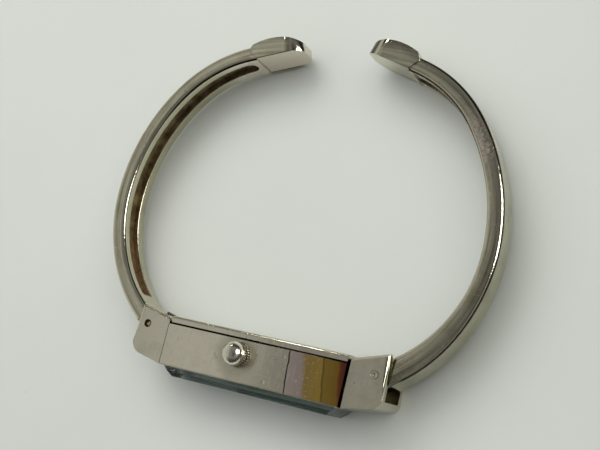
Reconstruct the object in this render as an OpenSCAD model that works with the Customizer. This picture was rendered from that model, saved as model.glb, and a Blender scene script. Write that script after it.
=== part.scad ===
// Cuff watch: a narrow rectangular case between two sprung half bangles.
// The watch lies on the nine o'clock side of its case, with the crown on top.
// X runs along the case from twelve to six o'clock, Y from the dial to the wrist, Z up.

/* [Case] */
// Length of the case from twelve to six o'clock, mm
case_length = 30.8; // [30.4:0.1:31.6]
// Width of the case from nine to three o'clock, mm
case_width = 9; // [9:0.1:9.6]
// Thickness of the case body without its back, mm
case_depth = 6.7; // [6.7:0.1:7.2]
// Thickness of the case back, mm
back_depth = 1.2; // [1:0.1:1.4]
// How far the glass stands out of the case, mm
glass_rise = 1.4; // [1:0.1:1.6]

/* [Arms] */
// Height of each arm, measured along the hinge pins, mm
arm_height = 6.2; // [5.8:0.1:6.2]
// Thickness of each arm along most of its length, mm
arm_depth = 2.6; // [2.5:0.1:2.8]
// Height of the groove along the inside of each arm, mm
groove_height = 3; // [2.4:0.1:3.2]
// Depth of that groove, mm
groove_depth = 0.9; // [0.5:0.1:1.1]
// Height of the pad at the tip of each arm, mm
pad_height = 6.6; // [6.4:0.1:7]

/* [Crown] */
// Place of the crown along the case, from its middle, mm
crown_x = -2.4; // [-2.6:0.1:-2.2]
// Radius of the larger knurled tier of the crown, mm
crown_radius = 2; // [1.9:0.05:2.1]
// Height of the crown above the case, without the gap, mm
crown_height = 3.2; // [3:0.1:3.3]
// How far the crown pulls out to set the time, mm
crown_travel = 0.7; // [0.7:0.1:0.7]

/* [Hands] */
// Length of the minute hand from its centre, mm
minute_length = 2.85; // [2.4:0.05:2.9]
// Length of the hour hand from its centre, mm
hour_length = 2; // [1.6:0.1:2.3]

/* [Hidden] */
// smoothness of a true circle; any value above twelve gives the same round face
$fn = 48;
eps = 0.01;
clear = 0.06;
thread_clear = 0.02;

// case
half_l = case_length / 2;
half_d = case_depth / 2;
mid_z = case_width / 2;
case_edge = 0.18;
end_wall = 1.2;
side_wall = 0.9;
ledge_back = 1.75;
seat_depth = 0.6;
seat_wall = 0.5;
opening_end = 2;
opening_side = 1.35;
front = half_d;
seat_floor = front - seat_depth;
cavity_l = half_l - end_wall;
cavity_y0 = side_wall;
cavity_y1 = case_width - side_wall;

// case back
lip_depth = 0.6;
lip_wall = 0.45;
seal_wall = 0.22;
back_edge = 0.3;
notch_l = 0.9;
notch_w = 1.6;
notch_depth = 0.5;

// glass
glass_gap = 0.14;
glass_foot = 0.18;
glass_bevel = 0.75;
glass_end_bevel = 1.2;

// crown and stem, on the line Y = stem_y
stem_y = 0.85;
stem_radius = 0.3;
stem_neck = 0.15;
stem_end = mid_z + 0.5;
tube_radius = 0.9;
tube_bore = 0.42;
tube_inner = case_width - side_wall;
tube_outer = case_width + 1.4;
crown_gap = 0.1;
crown_base = case_width + crown_gap;
crown_recess_radius = 1.36;
crown_recess = 1.45;
tier_height = 0.7;
tier_gap = 0.2;
tier_step = 0.1;
notch_count = 30;
notch_radius = 0.13;
dome_radius_in = 0.28;
stem_in_crown = 0.8;

// movement heights in the face frame, where z grows towards the glass
dial_depth = 0.3;
plate_top = ledge_back - dial_depth;
plate_floor = 0.35;
works_floor = 0.75;
bridge_top = -1.55;
bridge_depth = 0.4;
move_x0 = -12.7;
move_x1 = 10.6;
holder_room = 0.4;
move_y0 = cavity_y0 + holder_room;
move_y1 = cavity_y1 - holder_room;
holder_wall = 0.3;
holder_back = -2.6;
arbor = 0.15;
pivot = 0.08;
pivot_bore = 0.1;

// gears: teeth and module, mm
centre_teeth = 30;
centre_m = 0.1;
third_leaves = 10;
third_teeth = 40;
third_m = 0.085;
mid_leaves = 8;
mid_teeth = 48;
mid_m = 0.07;
rotor_leaves = 8;
cannon_teeth = 10;
minute_teeth = 30;
minute_leaves = 8;
hour_teeth = 32;
works_m = 0.1;
set_teeth = 14;
set_angle = 126;
centre_x = crown_x;
third_x = centre_x - centre_m * (centre_teeth + third_leaves) / 2;
mid_x = third_x - third_m * (third_teeth + mid_leaves) / 2;
rotor_x = mid_x - mid_m * (mid_teeth + rotor_leaves) / 2;
minute_x = centre_x + works_m * (cannon_teeth + minute_teeth) / 2;
set_far = works_m * (minute_teeth + set_teeth) / 2;
set_x = minute_x + set_far * cos(set_angle);
set_y = mid_z + set_far * sin(set_angle);
wheel_depth = 0.18;
centre_z = -0.05;
third_z = -0.55;
mid_wheel_z = -1.05;

// electric parts
cell_radius = 2.9;
cell_depth = 1.65;
cell_x = centre_x + 4.8;
cell_top = plate_floor - 0.05;
cell_rim = 0.12;
coil_x = move_x0 + 1.3;
coil_length = 4.2;
stator_depth = 0.35;
stator_top = -0.05;
rotor_radius = 0.9;
board_depth = 0.3;

// screws of the movement, as places in the face frame
screw_inset = 0.55;
screw_spots = [for (x = [centre_x - 3.6, centre_x + 1.35], y = [move_y0 + screw_inset, move_y1 - screw_inset]) [x, y]];
pillar_radius = 0.42;
screw_radius = 0.2;
screw_head_radius = 0.38;
screw_head = 0.25;
slot_width = 0.12;
slot_depth = 0.1;

// setting lever
lever_far = 1.45;
lever_y = move_y1 - 0.95;
lever_swing = asin(crown_travel / 2 / lever_far);
lever_pin = 0.11;

// links, in plan: pins stand on the line through pin_x and pin_y
pin_x = 19.6;
pin_y = 2.45;
pin_radius = 0.6;
ear_depth = (case_width - arm_height) / 2 - clear;
upper_gap = 0.14;
lower_gap = 0.34;
link_end_x = 21.45;
link_back_near = 4.15;
link_back_far = 5.45;
link_front_near = -3.3;
link_round = 1.35;
link_web = 1.5;
link_wall = 1.55;
boss_half = 1.5;
boss_low = 2.5;
link_bevel = 0.35;
link_screw_radius = 0.4;
link_screw_head = 0.75;

// arm curve, for the arm on the six o'clock side: three arcs that run into each other at shared
// walls. Each wall is the line from an arc's centre through the place where the next arc starts;
// its direction is a pair of short decimals of length one, so that both arcs meet it exactly.
arc_r = [26.2, 31.5, 23.6];
turns = [[0.6, -0.8], [1, 0], [0.8, 0.6]];
arm_end = [0.25, 1];
arm_start = [22.735, 2.632];
c0 = arm_start - arc_r[0] * turns[0];
c1 = c0 + (arc_r[0] - arc_r[1]) * turns[1];
c2 = c1 + (arc_r[1] - arc_r[2]) * turns[2];
// the first stretch is thicker: its inside has its own, tighter arc
taper_turn = [0.8, -0.6];
taper_start = [0.4, -0.9];
taper_r = 18.5;
ct = c0 + (arc_r[0] - arm_depth - taper_r) * taper_turn;
arm_low = mid_z - arm_height / 2;
outer_edge = 0.28;
inner_edge = 0.42;
root_band = 4.5;
root_back = 2.6;
root_depth = 2.8;
eye_radius = 1.65;
spring_room = 0.2;
spring_side = 1.45;
knuckle = 1.75;
heel_long = 2.1;
heel_half = 0.8;
heel_turn = 205;
heel_pad = 1.05;
heel_rest = 0.75;
spring_wire = 0.15;
spring_inner = pin_radius + 0.08;
spring_turns = 7;
spring_pitch = 0.28;
groove_start = [0.68, -0.73];
groove_end = [0.352, 0.936];

// tip pad in plan, as places from the point of the last arc in the direction tip_turn
tip_turn = [0.28, 0.96];
tip = c2 + arc_r[2] * tip_turn;
pad_outline = [[0.257, -0.588], [-1.243, -2.088], [-8.993, 0.362], [-7.943, 3.212], [-1.543, 3.212],
               [-0.393, 0.512]];
pad_crown_r = 10.7;
pad_crown = [-6.043, -8.238];
pad_end = [-9.343, 0.512];
pad_head = 163.6;

steel = [0.74, 0.72, 0.67];
bright = [0.82, 0.81, 0.77];
brassy = [0.80, 0.66, 0.38];
dark_rubber = [0.10, 0.10, 0.10];
glass_tone = [0.30, 0.38, 0.36];

// Turns a piece drawn with the glass upwards into its place: its y becomes Z, its z becomes -Y.
module face() {
    rotate([90, 0, 0]) children();
}

// A block given by its two corners.
module block(a, b) {
    translate(a) cube(b - a);
}

// A rod along z from z0 to z1.
module rod(x, y, z0, z1, r) {
    translate([x, y, z0]) cylinder(h = z1 - z0, r = r);
}

// A bar along x with its four long edges cut off.
module edged_bar(x0, x1, y0, y1, z0, z1, e) {
    translate([x0, 0, 0]) rotate([90, 0, 90]) linear_extrude(height = x1 - x0)
        polygon([[y0 + e, z0], [y1 - e, z0], [y1, z0 + e], [y1, z1 - e],
                 [y1 - e, z1], [y0 + e, z1], [y0, z1 - e], [y0, z0 + e]]);
}

// The outline of a gear with short straight-sided teeth.
module gear_outline(teeth, m) {
    root = m * (teeth / 2 - 1.15);
    tip = m * (teeth / 2 + 0.9);
    step = 360 / teeth;
    polygon([for (i = [0 : teeth - 1], k = [[-0.29, root], [-0.11, tip], [0.11, tip], [0.29, root]])
        k[1] * [cos((i + k[0]) * step), sin((i + k[0]) * step)]]);
}

// A gear at a place in the face frame, turned by a phase.
module gear(x, y, z0, z1, teeth, m, phase = 0) {
    translate([x, y, z0]) rotate([0, 0, phase]) linear_extrude(height = z1 - z0)
        gear_outline(teeth, m);
}

// The part of a ring about c between the directions a and b, from its section as [radius, z].
module ring_slice(c, a, b) {
    far = 60;
    intersection() {
        translate([c[0], c[1], 0]) rotate([0, 0, 180]) rotate_extrude() children();
        translate([c[0], c[1], -1]) linear_extrude(height = case_width + 2)
            polygon([[0, 0], far * a, far * (a + b), far * b]);
    }
}

// The case: a bar with a stepped front opening, a cavity open to the back and a crown hole.
module case_body() {
    color(steel) face() difference() {
        edged_bar(-half_l, half_l, 0, case_width, -half_d, front, case_edge);
        block([-cavity_l, cavity_y0, -half_d - eps], [cavity_l, cavity_y1, ledge_back]);
        block([-half_l + opening_end, opening_side, ledge_back - eps],
              [half_l - opening_end, case_width - opening_side, front + eps]);
        block([-half_l + seat_wall, seat_wall, seat_floor],
              [half_l - seat_wall, case_width - seat_wall, front + eps]);
        translate([crown_x, case_width + eps, -stem_y]) rotate([90, 0, 0])
            cylinder(h = side_wall + 2 * eps, r = tube_radius);
        for (s = [-1, 1]) translate([s * (half_l - end_wall / 2), mid_z, 0]) rotate([0, 90, 0])
            cylinder(h = end_wall + 2 * eps, r = link_screw_radius + clear, center = true);
    }
}

// The back: a bevelled plate with a snap lip that reaches into the case.
module case_back() {
    x1 = cavity_l - seal_wall;
    y0 = cavity_y0 + seal_wall;
    y1 = cavity_y1 - seal_wall;
    color(steel) face() difference() {
        union() {
            difference() {
                edged_bar(-half_l, half_l, 0, case_width, -half_d - back_depth, -half_d, back_edge);
                block([-half_l - eps, -eps, -half_d - back_depth / 3],
                      [half_l + eps, case_width + eps, -half_d + eps]);
            }
            edged_bar(-half_l, half_l, 0, case_width, -half_d - back_depth / 2, -half_d, case_edge);
            block([-x1, y0, -half_d - eps], [x1, y1, -half_d + lip_depth]);
        }
        block([-x1 + lip_wall, y0 + lip_wall, -half_d],
              [x1 - lip_wall, y1 - lip_wall, -half_d + lip_depth + eps]);
        block([-half_l - eps, case_width - notch_w, -half_d - notch_depth],
              [-half_l + notch_l, case_width + eps, -half_d + eps]);
    }
}

// A flat rubber frame squeezed between the lip and the case.
module back_gasket() {
    g = thread_clear;
    color(dark_rubber) face() difference() {
        block([-cavity_l + g, cavity_y0 + g, -half_d + g],
              [cavity_l - g, cavity_y1 - g, -half_d + lip_depth]);
        block([-cavity_l + seal_wall, cavity_y0 + seal_wall, -half_d],
              [cavity_l - seal_wall, cavity_y1 - seal_wall, -half_d + lip_depth + eps]);
    }
}

// The glass: a thick block, bevelled along both sides and more at both ends.
module crystal() {
    x1 = half_l - seat_wall - glass_gap;
    y0 = seat_wall + glass_gap;
    y1 = case_width - seat_wall - glass_gap;
    top = front + glass_rise;
    low = seat_floor + glass_foot;
    color(glass_tone) face() intersection() {
        translate([-x1, 0, 0]) rotate([90, 0, 90]) linear_extrude(height = 2 * x1)
            polygon([[y0, low], [y1, low], [y1, top - glass_bevel], [y1 - glass_bevel, top],
                     [y0 + glass_bevel, top], [y0, top - glass_bevel]]);
        translate([0, y1, 0]) rotate([90, 0, 0]) linear_extrude(height = y1 - y0)
            polygon([[-x1, low], [x1, low], [x1, front + eps], [x1 - glass_end_bevel, top],
                     [-x1 + glass_end_bevel, top], [-x1, front + eps]]);
    }
}

// The frame of soft plastic that holds the glass in its seat.
module crystal_gasket() {
    g = thread_clear;
    color(dark_rubber) face() difference() {
        block([-half_l + seat_wall + g, seat_wall + g, seat_floor],
              [half_l - seat_wall - g, case_width - seat_wall - g, front - case_edge]);
        block([-half_l + seat_wall + glass_gap, seat_wall + glass_gap, seat_floor + glass_foot],
              [half_l - seat_wall - glass_gap, case_width - seat_wall - glass_gap, front]);
        block([-half_l + opening_end, opening_side, seat_floor - eps],
              [half_l - opening_end, case_width - opening_side, front]);
    }
}

// The dial: a thin plate with a hole for the hands.
dial_hole = 0.75;
module dial() {
    g = clear;
    color([0.92, 0.91, 0.87]) face() difference() {
        block([-cavity_l + g, cavity_y0 + g, plate_top], [cavity_l - g, cavity_y1 - g, ledge_back]);
        rod(centre_x, mid_z, plate_top - eps, ledge_back + eps, dial_hole);
    }
}

// Raised bars on the dial at twelve, three, six and nine, with small dots between.
marker_rise = 0.12;
marker_half = 0.14;
dot_radius = 0.13;
dot_x = 1.7;
dot_y = 2.5;
bar_end = 2.7;
bar_long = 2.2;
module hour_markers() {
    z1 = ledge_back + marker_rise;
    color(bright) face() {
        for (s = [-1, 1]) {
            block([centre_x - marker_half, mid_z + s * bar_end - marker_half, ledge_back],
                  [centre_x + marker_half, mid_z + s * bar_end + marker_half, z1]);
            block([centre_x + s * (bar_end + bar_long / 2) - bar_long / 2, mid_z - marker_half, ledge_back],
                  [centre_x + s * (bar_end + bar_long / 2) + bar_long / 2, mid_z + marker_half, z1]);
            for (t = [-1, 1]) {
                rod(centre_x + s * dot_x, mid_z + t * dot_y, ledge_back, z1, dot_radius);
                rod(centre_x + s * dot_y, mid_z + t * dot_x, ledge_back, z1, dot_radius);
            }
        }
    }
}

// A hand: a hub on its pipe and a slim tapering blade that points to twelve.
hand_depth = 0.12;
hand_tail = 0.9;
module hand(length, half, z0, pipe, hub) {
    translate([centre_x, mid_z, z0]) difference() {
        linear_extrude(height = hand_depth) union() {
            circle(r = hub);
            polygon([[hand_tail, -half * 0.7], [hand_tail, half * 0.7], [0, half], [-length + half, half * 0.6],
                     [-length, 0], [-length + half, -half * 0.6], [0, -half]]);
        }
        translate([0, 0, -eps]) cylinder(h = hand_depth + 2 * eps, r = pipe);
    }
}

pipe_outer = 0.6;
pipe_inner = 0.4;
cannon_tube = 0.34;
hour_hand_z = 2;
minute_hand_z = 2.32;
module minute_hand() {
    color([0.16, 0.16, 0.17]) face() hand(minute_length, 0.19, minute_hand_z, cannon_tube, 0.5);
}
module hour_hand() {
    color([0.16, 0.16, 0.17]) face() hand(hour_length, 0.24, hour_hand_z, pipe_outer, 0.8);
}

// The moulded frame that centres the movement in the case.
module movement_holder() {
    g = clear;
    color([0.85, 0.84, 0.80]) face() difference() {
        block([-cavity_l + g, move_y0 - holder_wall, holder_back],
              [cavity_l - g, move_y1 + holder_wall, plate_top]);
        block([move_x0 - g, move_y0 - g, holder_back - eps], [move_x1 + g, move_y1 + g, plate_top + eps]);
        for (s = [-1, 1]) translate([s * cavity_l, mid_z, 0]) rotate([0, 90, 0])
            cylinder(h = 2 * link_screw_head, r = link_screw_head + g, center = true);
        block([-cavity_l - eps, 0, holder_back - eps],
              [cavity_l + eps, case_width, -half_d + lip_depth + g]);
        translate([crown_x, move_y1 - 2 * g, -stem_y]) rotate([-90, 0, 0])
            cylinder(h = 2 * holder_wall, r = tube_radius + g);
    }
}

// The main plate with pockets for the wheels under the dial, pillars and the stem bearing.
bearing_half = 0.8;
bearing_y = move_y1 - 0.4;
module main_plate() {
    color(brassy) face() difference() {
        union() {
            block([move_x0, move_y0, plate_floor], [move_x1, move_y1, plate_top]);
            for (p = screw_spots) rod(p[0], p[1], bridge_top, plate_floor + eps, pillar_radius);
            block([crown_x - bearing_half, bearing_y, -stem_y - pillar_radius - 0.15],
                  [crown_x + bearing_half, move_y1, plate_floor + eps]);
            rod(crown_x - lever_far, lever_y, bridge_top + 0.02, plate_floor + eps, 0.2);
            block([move_x1 - strap_foot, move_y0, cell_top - cell_depth], [move_x1, move_y1, plate_floor + eps]);
        }
        rod(centre_x, mid_z, works_floor, plate_top + eps, works_m * (hour_teeth / 2 + 1) + 0.08);
        rod(minute_x, mid_z, works_floor, plate_top + eps, works_m * (minute_teeth / 2 + 1) + 0.08);
        rod(set_x, set_y, works_floor, plate_top + eps, works_m * (set_teeth / 2 + 1) + 0.08);
        rod(centre_x, mid_z, plate_floor - eps, works_floor + eps, cannon_tube + 0.03);
        for (x = [third_x, mid_x, rotor_x])
            rod(x, mid_z, plate_floor - eps, plate_floor + 0.25, pivot_bore);
        for (p = [[minute_x, mid_z], [set_x, set_y]])
            rod(p[0], p[1], plate_floor - eps, works_floor + eps, pivot_bore + 0.02);
        for (p = screw_spots) rod(p[0], p[1], bridge_top - eps, plate_floor, screw_radius + thread_clear);
        translate([crown_x, bearing_y - eps, -stem_y]) rotate([-90, 0, 0])
            cylinder(h = move_y1 - bearing_y + 2 * eps, r = stem_radius + 0.04);
    }
}

// The bridge over the wheels, with a bearing hole for each of them.
module train_bridge() {
    x1 = centre_x + 1.9;
    color(bright) face() difference() {
        block([move_x0, move_y0, bridge_top - bridge_depth], [x1, move_y1, bridge_top]);
        for (x = [centre_x, third_x, mid_x, rotor_x])
            rod(x, mid_z, bridge_top - bridge_depth - eps, bridge_top + eps, pivot_bore);
        for (p = screw_spots)
            rod(p[0], p[1], bridge_top - bridge_depth - eps, bridge_top + eps, screw_radius + thread_clear);
    }
}

// A slotted screw whose head rests on the plane z0 and whose shank goes up.
module screw(x, y, z0, length, r, head_r, head) {
    difference() {
        union() {
            rod(x, y, z0 - head, z0, head_r);
            rod(x, y, z0 - eps, z0 + length, r);
        }
        block([x - head_r - eps, y - slot_width / 2, z0 - head - eps],
              [x + head_r + eps, y + slot_width / 2, z0 - head + slot_depth]);
    }
}

screw_long = 1.6;
module movement_screws() {
    color([0.55, 0.56, 0.62]) face() for (p = screw_spots)
        screw(p[0], p[1], bridge_top - bridge_depth, screw_long, screw_radius, screw_head_radius, screw_head);
}

// The button cell: a can with a slightly smaller cap towards the plate.
module battery() {
    color([0.78, 0.78, 0.80]) face() {
        rod(cell_x, mid_z, cell_top - cell_depth, cell_top - 0.35, cell_radius);
        rod(cell_x, mid_z, cell_top - 0.36, cell_top, cell_radius - 4 * cell_rim);
    }
}

module battery_insulator() {
    color([0.75, 0.45, 0.12]) face()
        rod(cell_x, mid_z, cell_top, plate_floor, cell_radius - 2 * cell_rim);
}

// The strap that presses on the cell and lies on the rear wall of the plate.
strap_half = 1.1;
strap_foot = 0.6;
strap_depth = 0.2;
module battery_strap() {
    z0 = cell_top - cell_depth - strap_depth;
    color(bright) face() union() {
        block([cell_x - cell_radius + strap_half, mid_z - strap_half, z0],
              [move_x1, mid_z + strap_half, z0 + strap_depth]);
        rod(cell_x - cell_radius + strap_half, mid_z, z0, z0 + strap_depth, strap_half);
    }
}

// The circuit board beside the cell, with the crystal can and the chip under it.
board_x0 = cell_x + cell_radius + 0.2;
board_x1 = move_x1 - 0.65;
can_radius = 0.6;
can_long = 4.4;
can_x = board_x1 - 0.8;
module circuit_board() {
    color([0.12, 0.32, 0.20]) face()
        block([board_x0, move_y0 + 0.1, plate_floor - board_depth], [board_x1, move_y1 - 0.1, plate_floor]);
}
module quartz_can() {
    color([0.80, 0.80, 0.82]) face() translate([can_x, mid_z - can_long / 2, plate_floor - board_depth - can_radius])
        rotate([-90, 0, 0]) cylinder(h = can_long, r = can_radius);
}
chip_half = 0.8;
chip_depth = 0.5;
module control_chip() {
    color([0.06, 0.06, 0.07]) face()
        block([board_x0 + 0.2, mid_z - chip_half, plate_floor - board_depth - chip_depth],
              [board_x0 + 0.2 + chip_half, mid_z + chip_half, plate_floor - board_depth]);
}

// The coil lies across the movement on a flat core whose ends touch the stator.
core_half = 0.25;
core_over = 0.7;
coil_z = stator_top - stator_depth - 0.3;
coil_flange = 0.05;
coil_radius = coil_z - bridge_top - coil_flange - thread_clear;
module coil_core() {
    y = coil_length / 2 + core_over;
    color([0.60, 0.60, 0.62]) face()
        block([coil_x - core_half, mid_z - y, coil_z - 0.3], [coil_x + core_half, mid_z + y, coil_z + 0.3]);
}
module coil_winding() {
    color([0.72, 0.38, 0.16]) face() difference() {
        translate([coil_x, mid_z - coil_length / 2, coil_z]) rotate([-90, 0, 0]) union() {
            cylinder(h = coil_length, r = coil_radius);
            for (y = [0, coil_length - 0.15]) translate([0, 0, y])
                cylinder(h = 0.15, r = coil_radius + coil_flange);
        }
        block([coil_x - core_half - thread_clear, 0, coil_z - 0.3 - thread_clear],
              [coil_x + core_half + thread_clear, case_width, coil_z + 0.3 + thread_clear]);
    }
}

// The stator: a soft iron plate round the magnet, with two arms to the ends of the coil.
stator_half = 1.75;
arm_w = 0.55;
module stator() {
    y = coil_length / 2 + core_over;
    z0 = stator_top - stator_depth;
    color([0.66, 0.66, 0.68]) face() difference() {
        union() {
            block([rotor_x - stator_half, mid_z - y, z0], [rotor_x + stator_half - 0.2, mid_z + y, stator_top]);
            for (s = [-1, 1]) block([coil_x - core_half, mid_z + s * (y - arm_w / 2) - arm_w / 2, z0],
                [rotor_x, mid_z + s * (y - arm_w / 2) + arm_w / 2, stator_top]);
        }
        rod(rotor_x, mid_z, z0 - eps, stator_top + eps, rotor_radius + 0.15);
        for (s = [-1, 1]) translate([screw_spots[0][0], mid_z + s * (mid_z - screw_spots[0][1]), z0 - eps])
            cylinder(h = stator_depth + 2 * eps, r = pillar_radius + clear);
    }
}

// The magnet of the motor and the pinion on its arbor.
module rotor() {
    color([0.35, 0.35, 0.37]) face() difference() {
        rod(rotor_x, mid_z, stator_top - stator_depth - 0.1, stator_top + 0.1, rotor_radius);
        rod(rotor_x, mid_z, -2, 1, arbor);
    }
}
module rotor_pinion() {
    color(brassy) face() {
        rod(rotor_x, mid_z, mid_wheel_z - 0.2, plate_floor - 0.1, arbor);
        rod(rotor_x, mid_z, bridge_top - 0.3, plate_floor + 0.2, pivot);
        gear(rotor_x, mid_z, mid_wheel_z - 0.1, mid_wheel_z + 0.28, rotor_leaves, mid_m, 180 / rotor_leaves);
    }
}

// The wheels that slow the motor down to the minute hand.
module intermediate_wheel() {
    color(brassy) face() {
        rod(mid_x, mid_z, mid_wheel_z - 0.2, plate_floor - 0.1, arbor);
        rod(mid_x, mid_z, bridge_top - 0.3, plate_floor + 0.2, pivot);
        gear(mid_x, mid_z, mid_wheel_z, mid_wheel_z + wheel_depth, mid_teeth, mid_m);
        gear(mid_x, mid_z, third_z - 0.1, third_z + 0.28, mid_leaves, third_m, 180 / mid_leaves);
    }
}
module third_wheel() {
    color(brassy) face() {
        rod(third_x, mid_z, mid_wheel_z - 0.2, plate_floor - 0.1, arbor);
        rod(third_x, mid_z, bridge_top - 0.3, plate_floor + 0.2, pivot);
        gear(third_x, mid_z, third_z, third_z + wheel_depth, third_teeth, third_m);
        gear(third_x, mid_z, centre_z - 0.1, centre_z + 0.28, third_leaves, centre_m, 180 / third_leaves);
    }
}
module centre_wheel() {
    color(brassy) face() {
        rod(centre_x, mid_z, mid_wheel_z - 0.2, works_floor + 0.1, arbor);
        rod(centre_x, mid_z, bridge_top - 0.3, mid_wheel_z, pivot);
        gear(centre_x, mid_z, centre_z, centre_z + wheel_depth, centre_teeth, centre_m);
    }
}

// The wheels under the dial that drive the hands.
cannon_top = 2.5;
module cannon_pinion() {
    color(brassy) face() difference() {
        union() {
            rod(centre_x, mid_z, plate_floor + 0.05, cannon_top, cannon_tube);
            gear(centre_x, mid_z, works_floor + 0.04, works_floor + 0.34, cannon_teeth, works_m);
        }
        rod(centre_x, mid_z, plate_floor, works_floor + 0.12, arbor + thread_clear);
    }
}
module minute_wheel() {
    color(brassy) face() {
        gear(minute_x, mid_z, works_floor + 0.08, works_floor + 0.26, minute_teeth, works_m, 180 / minute_teeth);
        gear(minute_x, mid_z, works_floor + 0.25, works_floor + 0.62, minute_leaves, works_m);
        rod(minute_x, mid_z, plate_floor + 0.05, works_floor + 0.1, pivot + 0.02);
    }
}
module hour_wheel() {
    color(brassy) face() difference() {
        union() {
            gear(centre_x, mid_z, works_floor + 0.4, works_floor + 0.58, hour_teeth, works_m, 180 / hour_teeth);
            rod(centre_x, mid_z, works_floor + 0.4, hour_hand_z + hand_depth, pipe_outer);
        }
        rod(centre_x, mid_z, works_floor, cannon_top, pipe_inner);
    }
}
module setting_wheel() {
    color(brassy) face() {
        gear(set_x, set_y, works_floor + 0.08, works_floor + 0.26, set_teeth, works_m,
             set_angle + 180 + 180 / set_teeth);
        rod(set_x, set_y, plate_floor + 0.05, works_floor + 0.1, pivot + 0.02);
    }
}

// The lever that turns on its post when the stem is pulled, with a pin in the groove of the stem.
lever_half = 0.3;
lever_z = -1.5;
lever_depth = 0.18;
module setting_lever() {
    color([0.62, 0.63, 0.66]) face() translate([crown_x - lever_far, lever_y, lever_z])
        rotate([0, 0, -lever_swing]) difference() {
            union() {
                cylinder(h = lever_depth, r = 1.6 * lever_half);
                block([0, -lever_half, 0], [lever_far, lever_half, lever_depth]);
                translate([lever_far, 0, 0]) cylinder(h = lever_depth, r = lever_half);
                translate([lever_far, 0, 0]) cylinder(h = -lever_z - stem_y - stem_neck - 0.05, r = lever_pin);
            }
            translate([0, 0, -eps]) cylinder(h = lever_depth + 2 * eps, r = 0.2 + 0.03);
        }
}

// A solid of revolution about the crown's axis, along Z.
module on_stem() {
    translate([crown_x, stem_y, 0]) children();
}

// The crown: two knurled tiers with a groove between them and a dome on top.
module crown() {
    top2 = 2 * tier_height + tier_gap;
    dome_h = crown_height - top2;
    dome_w = crown_radius - dome_radius_in;
    dome_r = (dome_w * dome_w + dome_h * dome_h) / 2 / dome_h;
    color(steel) on_stem() translate([0, 0, crown_base]) difference() {
        union() {
            cylinder(h = tier_height, r = crown_radius);
            cylinder(h = top2, r = dome_w);
            translate([0, 0, tier_height + tier_gap]) cylinder(h = tier_height, r = crown_radius - tier_step);
            intersection() {
                translate([0, 0, crown_height - dome_r]) sphere(r = dome_r, $fn = 96);
                translate([0, 0, top2 - eps]) cylinder(h = dome_h + 1, r = dome_w);
            }
        }
        for (t = [0, 1], i = [0 : notch_count - 1]) rotate([0, 0, (i + t / 2) * 360 / notch_count])
            translate([crown_radius - t * tier_step + 0.04, 0, t * (tier_height + tier_gap) - eps / 2])
                cylinder(h = tier_height + eps, r = notch_radius);
        translate([0, 0, -eps]) cylinder(h = crown_recess + eps, r = crown_recess_radius);
        cylinder(h = crown_recess + stem_in_crown, r = stem_radius + thread_clear);
    }
}
module crown_tube() {
    color(brassy) on_stem() difference() {
        translate([0, 0, tube_inner]) cylinder(h = tube_outer - tube_inner, r = tube_radius);
        translate([0, 0, tube_inner - eps]) cylinder(h = tube_outer - tube_inner + 2 * eps, r = tube_bore);
    }
}
seal_low = 0.25;
seal_high = 0.4;
module crown_gasket() {
    color(dark_rubber) on_stem() translate([0, 0, crown_base + seal_low]) difference() {
        cylinder(h = seal_high, r = crown_recess_radius - thread_clear);
        translate([0, 0, -eps]) cylinder(h = seal_high + 2 * eps, r = tube_radius + thread_clear);
    }
}
neck_y = lever_y - lever_far * sin(lever_swing);
module stem() {
    top = crown_base + crown_recess + stem_in_crown;
    color([0.70, 0.70, 0.72]) on_stem() difference() {
        translate([0, 0, stem_end]) cylinder(h = top - stem_end, r = stem_radius);
        translate([0, 0, neck_y - lever_pin - 0.06]) difference() {
            cylinder(h = 2 * lever_pin + 0.12, r = stem_radius + eps);
            cylinder(h = 2 * lever_pin + 0.12, r = stem_neck);
        }
    }
}
clutch_low = stem_end + 0.45;
clutch_high = clutch_low + 0.6;
clutch_teeth = 12;
clutch_m = 0.075;
module sliding_pinion() {
    color(brassy) on_stem() difference() {
        translate([0, 0, clutch_low]) linear_extrude(height = clutch_high - clutch_low)
            gear_outline(clutch_teeth, clutch_m);
        translate([0, 0, clutch_low - eps]) cylinder(h = clutch_high - clutch_low + 2 * eps, r = stem_radius + thread_clear);
    }
}

// Plan of a link, drawn for the six o'clock side; near is its distance from the case.
module link_plan(near) {
    q = [half_l + near, link_front_near];
    c = [link_end_x - link_round, link_round - 2.35];
    d = norm(c - q);
    a = atan2(c[1] - q[1], c[0] - q[0]) - asin(link_round / d);
    t = q + sqrt(d * d - link_round * link_round) * [cos(a), sin(a)];
    union() {
        polygon([q, t, c, [link_end_x, c[1]], [link_end_x + 0.05, pin_y], [link_end_x - 0.2, link_back_far],
                 [half_l + near, link_back_near]]);
        translate(c) circle(r = link_round);
    }
}

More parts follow.
